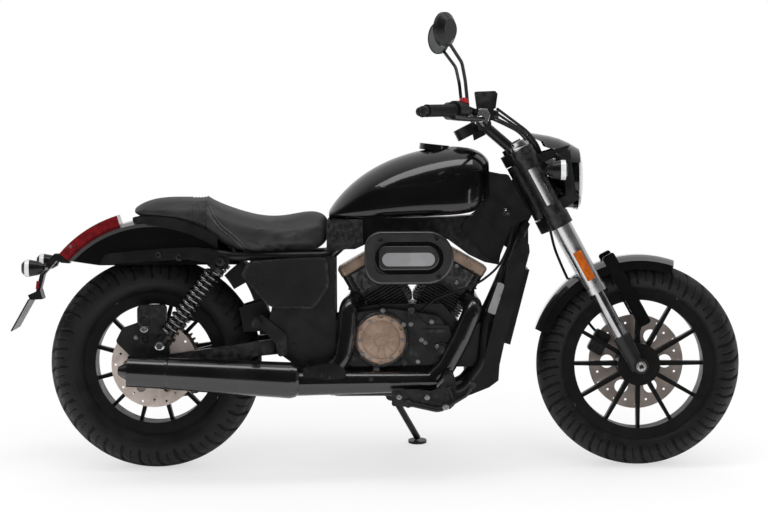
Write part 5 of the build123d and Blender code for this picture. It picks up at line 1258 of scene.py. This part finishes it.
route = arc_points(small_c, small_r, lean_of_line + wrap, lean_of_line + 2 * math.pi - wrap, 24)
route += arc_points(large_c, large_r, lean_of_line - wrap, lean_of_line + wrap, 64)
steps = [(b - a).length for a, b in zip(route, route[1:] + route[:1])]
links = 2 * round(sum(steps) / PITCH / 2)
spacing, pins, position, index = sum(steps) / links, [], 0.0, 0
for k in range(links):
    while position + steps[index] < k * spacing:
        position, index = position + steps[index], index + 1
    start, end = route[index], route[(index + 1) % len(route)]
    pins.append(start.lerp(end, (k * spacing - position) / steps[index]))
print("chain:", links, "links,", round(spacing, 2), "mm apart")

# %% [markdown]
# ### Links
#
# A link plate is a figure of eight with a waist. Inner plates sit close to the roller and
# outer plates outside them. A pin with small heads and a roller turn at every joint.

# %% Plates, pins and rollers
PLATE_END_R, PLATE_WAIST, PLATE_THICK = 7.0, 5.2, 1.6
INNER_Y, OUTER_Y = 4.7, 6.5      # the inner faces of inner and outer plates, from the chain's middle
PIN = [(0, -9.2), (2.4, -9.2), (2.6, -8.6), (2.6, 8.6), (2.4, 9.2), (0, 9.2)]
ROLLER = [(2.6, -4.6), (5.0, -4.6), (5.0, 4.6), (2.6, 4.6)]


def link_plate(drawing, a, b, y, thick):
    """One side plate of a link: two round ends and a waist."""
    run = (b - a).normalized()
    up = Vector((-run.z, 0, run.x))
    rim = []
    for centre, first, sign in ((b, -80, 1), (a, 100, -1)):
        for k in range(6):
            angle = math.radians(first + 32 * k)
            rim.append(centre + run * (PLATE_END_R * math.cos(angle)) + up * (PLATE_END_R * math.sin(angle)))
        rim.append((a + b) / 2 + up * (PLATE_WAIST * sign))
    near = [drawing.verts.new(p + Vector((0, y, 0))) for p in rim]
    far = [drawing.verts.new(p + Vector((0, y + thick, 0))) for p in rim]
    drawing.faces.new(near)
    drawing.faces.new(list(reversed(far)))
    for k in range(len(rim)):
        drawing.faces.new((near[k], near[(k + 1) % len(rim)], far[(k + 1) % len(rim)], far[k]))


drawing = bmesh.new()
for k, (a, b) in enumerate(zip(pins, pins[1:] + pins[:1])):
    offset = INNER_Y if k % 2 else OUTER_Y
    link_plate(drawing, a, b, CHAIN_Y - offset - PLATE_THICK, PLATE_THICK)
    link_plate(drawing, a, b, CHAIN_Y + offset, PLATE_THICK)
    middle = a + Vector((0, CHAIN_Y, 0))
    lathe(drawing, PIN, middle, (0, 1, 0), 8)
    lathe(drawing, ROLLER, middle, (0, 1, 0), 10)
dress("roller_chain", drawing, "chain_steel", "root", ["chain"])

# %% [markdown]
# ## Plates and sleeves
#
# Flat small parts are outlines with a little thickness and a softened edge. `plate()`
# pulls an outline out sideways, and `stadium()` writes the long round-ended outline that
# several of them have. `sleeve()` wraps part of a tube round a leg of the fork.


# %% plate() and stadium()
def plate(drawing, outline, y0, y1, edge=0.8):
    """A flat part: an outline of (x, z) from y0 out to y1, with its outer edge softened."""
    middle = Vector((sum(x for x, _ in outline) / len(outline), 0, sum(z for _, z in outline) / len(outline)))
    step = edge if y1 > y0 else -edge
    rows = []
    for y, inset in ((y0, 0.0), (y1 - step, 0.0), (y1, edge)):
        rows.append([])
        for x, z in outline:
            spoke = Vector((x, 0, z)) - middle
            rows[-1].append(middle + spoke * (1 - inset / max(spoke.length, 1)) + Vector((0, y, 0)))
    made = grid(drawing, rows, close_rows=False, close_ends=True)
    drawing.faces.new(made[0])
    drawing.faces.new(list(reversed(made[-1])))


def stadium(x, z, half_length, half_height, steps=12):
    """A long round-ended outline."""
    flat, points = half_length - half_height, []
    for side, first in ((1, -90), (-1, 90)):
        for k in range(steps + 1):
            angle = math.radians(first + 180 * k / steps)
            across_x, up_z = half_height * math.cos(angle), half_height * math.sin(angle)
            points.append((x + side * flat + across_x, z + up_z))
    return points


print("a stadium has", len(stadium(0, 0, 20, 5)), "points")


# %% sleeve()
def sleeve(drawing, a, b, r, thick, opening, outward, steps=40):
    """A tube from a to b with a slot of the given half angle on its outer side."""
    along = (b - a).normalized()
    side = (outward - along * outward.dot(along)).normalized()
    up = along.cross(side)
    rows = []
    for k in range(steps + 1):
        angle = math.radians(opening + (360 - 2 * opening) * k / steps)
        out = side * math.cos(angle) + up * math.sin(angle)
        rows.append([a + out * r, a + out * (r + thick), b + out * (r + thick), b + out * r])
    made = grid(drawing, rows, close_rows=False, close_ends=True)
    drawing.faces.new(made[0])
    drawing.faces.new(list(reversed(made[-1])))


trial = bmesh.new()
sleeve(trial, Vector((0, 0, 0)), Vector((0, 0, 50)), 20, 2, 30, Vector((0, 1, 0)))
print("a slotted sleeve has", len(trial.faces), "faces")
trial.free()

# %% [markdown]
# ## Fork trim
#
# The fork's legs are bright metal. Black covers hide them between the two clamps, with
# an open slot down the outer side where the metal shows. That bright stripe along the black
# is a painted highlight, the streak that a light draws down a glossy leg. A bright ring
# closes each leg at its top, and an orange reflector is stuck to each leg's outer side. All
# of them are placed by how far up the leg they are, so one function gives that point.

# %% Covers, rings and reflectors
RAKE = math.radians(28)
LEG_X, LEG_Y, LEG_Z = 702.9, 103.0, 295.2            # where a leg's middle line starts, by the axle
COVER_LOW, COVER_HIGH, COVER_SIZE = 511, 687, (27.1, 1.6, 28)      # radius, wall, half the angle of the slot, whose stripe of bright leg is a painted highlight
RING_UP = 725
RING = [(26, 0), (28.6, 0.8), (29.2, 2), (29.2, 9), (28.6, 10.5), (26, 11)]
REFLECTOR_LOW, REFLECTOR_HIGH, REFLECTOR_HALF = 293, 385, 12.5
REFLECTOR_IN, REFLECTOR_OUT = 128.5, 136.5


def on_leg(up, side):
    """A point on the middle line of one fork leg, `up` from the axle."""
    return Vector((LEG_X - up * math.sin(RAKE), side * LEG_Y, LEG_Z + up * math.cos(RAKE)))


covers_with_highlight_slot, rings, reflectors = bmesh.new(), bmesh.new(), bmesh.new()
for side in (-1, 1):
    outward = Vector((0, side, 0))
    # The slot leaves a stripe of the bright leg showing, a painted highlight down the black cover.
    sleeve(covers_with_highlight_slot, on_leg(COVER_LOW, side), on_leg(COVER_HIGH, side), *COVER_SIZE, outward)
    leg = (on_leg(10, side) - on_leg(0, side)).normalized()
    lathe(rings, RING, on_leg(RING_UP, side), leg, 40)
    foot, head = on_leg(REFLECTOR_LOW, side), on_leg(REFLECTOR_HIGH, side)
    flat = Vector((math.cos(RAKE), 0, math.sin(RAKE))) * REFLECTOR_HALF
    corners = [foot - flat, foot + flat, head + flat, head - flat]
    plate(reflectors, [(p.x, p.z) for p in corners], side * REFLECTOR_IN, side * REFLECTOR_OUT, 1.6)
dress("fork_covers_highlight_slot", covers_with_highlight_slot, "satin_black", "steering")
dress("fork_rings", rings, "silver", "steering")
dress("fork_reflectors", reflectors, "orange_lens", "steering")

# %% [markdown]
# ## Air cleaner face
#
# The air cleaner's cover is one long oval with a sunk channel round a raised middle.
# The middle carries a blank plate of light metal. A plate of deeper black than the cover
# lies in the channel as painted shade for the sunk channel, which draws the oval from far
# away.

# %% Channel, blank plate and screws
CHANNEL_Y, PLATE_Y = (-174.2, -175.7), (-185.6, -187.0)      # the inner and outer face of each
AIR_SCREWS = [(-47, 673, -1, 6.0), (116, 678, -1, 6.0), (121, 566, -1, 6.0)]
drawing = bmesh.new()
# painted shade: a deeper black plate laid in the sunk channel
plate(drawing, stadium(36, 622, 98.6, 46.6), *CHANNEL_Y, 0.3)
dress("air_cleaner_channel_shade", drawing, "gloss_black", "root")
drawing = bmesh.new()
plate(drawing, stadium(34, 618, 76, 19.5), *PLATE_Y, 0.5)
dress("air_cleaner_plate", drawing, "plate_grey", "root")
air_skin = skin_of("air_cleaner")
scatter("air_cleaner_screws", "bolt_black", "root", air_skin, cap_screw, AIR_SCREWS)

# %% [markdown]
# ## Exhaust, footrest and shock fittings
#
# The exhaust's heat shield has plugs along it and a short slot. The slot is a dark plate a
# little proud of the shield, a painted shade for the inside of the cut: a real cut would
# cost many faces for a line one can hardly see into. Each bracket is held by something,
# and those bolts are bright against the black. Their places come from a short table, with
# the skin that carries each group, and the ray sets them on the metal.

# %% The heat shield's plugs and slot
SLOT_X, SLOT_Z = -8, 267
SHIELD_PLUGS = [(-76, 274, -1, 5.5), (-262, 300, -1, 3.2), (-240, 293, -1, 3.2), (-218, 287, -1, 3.2),
                (-196, 281, -1, 3.2)]
exhaust_skin = skin_of("exhaust")
scatter("shield_plugs", "steel_dark", "root", exhaust_skin, cap_screw, SHIELD_PLUGS)
drawing = bmesh.new()
face = seat_on(exhaust_skin, SLOT_X, SLOT_Z, -1)[0].y
# painted shade: a dark plate stands for the inside of the slot
plate(drawing, stadium(SLOT_X, SLOT_Z, 20, 4.5), face + 1.5, face - 1.2, 0.4)
dress("shield_slot_shade", drawing, "gloss_black", "root")

# %% Fittings
foot_skin = skin_of("footrests", "foot_pedals")
frame_skin = skin_of("fender_struts", "rear_caliper", "shocks", "swingarm", "side_covers",
                     "neck_covers", "tail_lamp")
FOOTREST_BOLTS = [(5, 225, -1, 6.0), (85, 223, -1, 6.0), (138, 197, -1, 7.0), (5, 225, 1, 6.0),
                  (85, 223, 1, 6.0)]
STRUT_BOLTS = [(-508, 616, -1, 10.0), (-628, 628, -1, 8.0), (-508, 616, 1, 10.0), (-628, 628, 1, 8.0)]
SHOCK_NUTS = [(-687, 372, -1, 11.0), (-687, 372, 1, 11.0)]
CALIPER_PINS = [(-736, 418, -1, 9.0), (-790, 427, -1, 6.0), (-760, 392, -1, 5.0)]
LAMP_SCREWS = [(-955, 655, -1, 3.6), (-955, 655, 1, 3.6)]
FITTINGS = [
    # name, finish, skin, kind, rows of x, z, side and radius, slot
    ("footrest_bolts", "bolt_zinc", foot_skin, cap_screw, FOOTREST_BOLTS, "silver"),
    ("strut_bolts", "bolt_black", frame_skin, cap_screw, STRUT_BOLTS, "satin_black"),
    ("shock_nuts", "chrome", frame_skin, hex_bolt, SHOCK_NUTS, None),
    ("caliper_pins", "bolt_zinc", frame_skin, cap_screw, CALIPER_PINS, "silver"),
    ("lamp_screws", "bolt_zinc", frame_skin, cap_screw, LAMP_SCREWS, "silver"),
]
for name, finish_name, skin, kind, rows, slot in FITTINGS:
    scatter(name, finish_name, "root", skin, kind, rows)

# %% [markdown]
# ### The lock, the kill switch and the rear reflector
#
# Three small things catch the eye on the right side: the bright barrel of the steering
# lock below the tank's front, the red switch on the handlebar, and a red reflector
# beside the number plate. The barrel is turned, with a second profile for its plug, and
# the other two are plates.

# %% Lock, switch and reflector
OUT_RIGHT = Vector((0, -1, 0))
LOCK_BARREL = [(0, -1), (12, -1), (12, 4), (10.5, 6), (8.0, 6), (8.0, 4), (0, 4)]
LOCK_PLUG = [(0, 3.5), (6.4, 3.5), (6.4, 5.6), (5.4, 6.4), (0, 6.4)]
drawing, spot = bmesh.new(), seat_on(frame_skin, 322, 749, -1)[0]
lathe(drawing, LOCK_BARREL, spot, OUT_RIGHT, 28)
lathe(drawing, LOCK_PLUG, spot, OUT_RIGHT, 20)
dress("steering_lock", drawing, "chrome", "root")
drawing = bmesh.new()
plate(drawing, [(178, 1066), (206, 1066), (202, 1079), (192, 1083), (182, 1080)], -299, -322, 1.5)
dress("kill_switch", drawing, "red_plastic", "steering")
drawing = bmesh.new()
plate(drawing, [(-1062, 530), (-1053, 528), (-1050, 552), (-1059, 554)], -24.5, -28.0, 1.0)
dress("side_reflector", drawing, "red_lens", "root")

# %% [markdown]
# ### Clutch cover ribs
#
# The clutch cover's inner disc is cast with thin ribs that run out from its middle,
# between two rings. The same bar that made the dial's ticks makes a rib.

# %% Ribs and rings
CLUTCH_RIBS, RIB_IN, RIB_OUT = 12, 23, 51
CLUTCH_FACE = -164.6
hub, drawing = Vector((CLUTCH[0], CLUTCH_FACE, CLUTCH[1])), bmesh.new()
for k in range(CLUTCH_RIBS):
    angle = math.radians(15 + 360 / CLUTCH_RIBS * k)
    out = Vector((math.cos(angle), 0, math.sin(angle)))
    bar(drawing, hub + out * RIB_IN, hub + out * RIB_OUT, OUT_RIGHT, 2.2, 1.6)
ring(drawing, hub, OUT_RIGHT, 54, 3.0, 2.4)
ring(drawing, hub, OUT_RIGHT, 24, 2.5, 2.0)
dress("clutch_ribs", drawing, "bronze", "root")

# %% [markdown]
# ### Brake parts
#
# The rear brake has two round pistons under caps. The front brake's master cylinder is
# left bright under its black reservoir, and the lever turns on a bright pin.

# %% Piston caps and master cylinder
PISTONS = [(-736, 440, 17), (-736, 385, 13)]      # x, z, radius
LEVER_PIN = [(0, 0), (9, 0), (9, 3), (7.5, 4.5), (5, 4.5), (4.5, 3), (0, 3)]
drawing = bmesh.new()
for x, z, r in PISTONS:
    cap = [(0, -1), (r, -1), (r, 3), (r - 2, 5), (r - 5, 5), (r - 6, 3.5), (0, 3.5)]
    lathe(drawing, cap, seat_on(frame_skin, x, z, -1)[0], OUT_RIGHT, 32)
dress("piston_caps", drawing, "bolt_black", "root")
drawing = bmesh.new()
face = seat_on(skin_of("hand_levers"), 246, 1036, -1)[0].y
plate(drawing, [(229, 1016), (262, 1014), (268, 1032), (260, 1050), (233, 1051)], face + 4, face - 3, 2.0)
lathe(drawing, LEVER_PIN, Vector((240, face - 2.6, 1021)), OUT_RIGHT, 24)
dress("master_cylinder", drawing, "silver", "steering")

# %% [markdown]
# ### Axle ends
#
# A wheel's axle ends in a hollow round head: a bright ring round a dark hole, standing a
# little proud of the black fork foot. Both ends of the front axle get one. The hole is
# a dark disc set back in the ring, a painted shade for the hollow's inside, which needs no
# cut in the CAD piece.

# %% Ring and dark hole on each end of the front axle
AXLE_RING = [(6.5, -1), (11.5, -1), (11.5, 2.2), (10.2, 3.2), (7.6, 3.2), (6.5, 2.2), (6.5, -1)]
AXLE_HOLE_SHADE = [(0, -1), (6.4, -1), (6.4, 1.0), (0, 1.0)]
rings, hole_shades = bmesh.new(), bmesh.new()
axle_skin = skin_of("front_axle", "fork_bottoms")
for side in (-1, 1):
    spot = seat_on(axle_skin, FRONT_AXLE.x, FRONT_AXLE.z, side)[0]
    lathe(rings, AXLE_RING, spot, (0, side, 0), 32)
    # painted shade: a dark disc for the inside of the hollow axle
    lathe(hole_shades, AXLE_HOLE_SHADE, spot, (0, side, 0), 24)
dress("axle_rings", rings, "silver", "steering")
dress("axle_hole_shades", hole_shades, "satin_black", "steering")

# %% [markdown]
# ### The seat's skirt
#
# Under the back half of the seat a stiff skirt closes the gap down to the rounded
# fender. Its path runs down one side, round the back and up the other side. At every
# point of the path its lower edge follows the fender's own section.

# %% A skirt along the seat's edge
FENDER_MIDDLE, FENDER_TOP = (-712.0, 395.0), 340.0                    # the fender's round: middle, radius
FENDER_SECTION = [(0, 0), (49, 3), (86, 12), (98, 22), (140, 26)]     # half width, drop from the top
SEAT_EDGE = [(-520, 128), (-556, 120), (-605, 113), (-650, 106), (-700, 95), (-730, 88), (-758, 68),
             (-772, 46), (-777, 0)]                                   # x, half width
SKIRT_SUNK, SKIRT_RISE, SKIRT_THICK = 1.5, 9, 5                       # into the fender, above it, its wall
SIDE_FROM = 60                                                        # half width where its side begins


def between(table, value):
    """Reads a two-column table at any value between its rows."""
    # A lens is coloured plastic with a mirror bowl behind it. Real refraction through several thin shells is slow
    # and noisy, so the red and orange lenses are a glossy coloured surface, mottled between a bright and a deep
    # shade, with a fine ribbed bump like the lines moulded inside a lens. The headlamp's glass lets a quarter of
    # the light through, and the rest of it takes a pale colour, a painted reflection of the bright bowl behind it.
    for (a, low), (b, high) in zip(table, table[1:]):
        if value <= b:
            return low + (high - low) * (value - a) / (b - a)
    return table[-1][1]


drawing, rows = bmesh.new(), []
path = [(x, -y) for x, y in SEAT_EDGE] + [(x, y) for x, y in reversed(SEAT_EDGE[:-1])]
for x, y in path:
    height = math.sqrt(FENDER_TOP**2 - (x - FENDER_MIDDLE[0])**2) + FENDER_MIDDLE[1]
    low, high = height - between(FENDER_SECTION, abs(y)) - SKIRT_SUNK, height + SKIRT_RISE
    inward = Vector((0.25 if abs(y) > SIDE_FROM else 0.9, -y / 100, 0)).normalized() * SKIRT_THICK
    edge = Vector((x, y, low))
    rows.append([edge, Vector((x, y, high)), Vector((x, y, high)) + inward, edge + inward])
made = grid(drawing, rows, close_rows=False, close_ends=True)
drawing.faces.new(list(reversed(made[0])))
drawing.faces.new(made[-1])
dress("seat_skirt", drawing, "black_plastic", "root")

# %% [markdown]
# ## Turn signals
#
# Each signal is a small black bullet. Its lens is a clear ring near the open end, round
# the bullet, so it can be seen from the side as well as from the front or back. The ring
# is a glossy pale colour, a painted reflection of the light that a clear lens catches.
# The bullet's radius under the ring is measured with the same ray as before.

# %% Signal lenses
def signal_rings(name, node, body, x, y, z, half, aim):
    """A clear ring round each of a pair of signals, at x on its own axis."""
    skin, drawing = skin_of(node), bmesh.new()
    for side in (-1, 1):
        r = abs(seat_on(skin, x, z, side)[0].y) - y
        profile = [(r - 1.5, -half), (r + 0.8, -half + 1), (r + 1.2, 0), (r + 0.8, half - 1), (r - 1.5, half)]
        lathe(drawing, profile, (x, side * y, z), (aim, 0, 0), 32)
    dress(name, drawing, "signal_pale_reflection", body)


# name, CAD node, body, x, y and z of its axis, half the ring's width, the way it faces
signal_rings("front_signal_lenses", "front_indicators", "steering", 481, 165, 873, 8, 1)
signal_rings("rear_signal_lenses", "rear_indicators", "root", -1066, 172, 599, 7, -1)
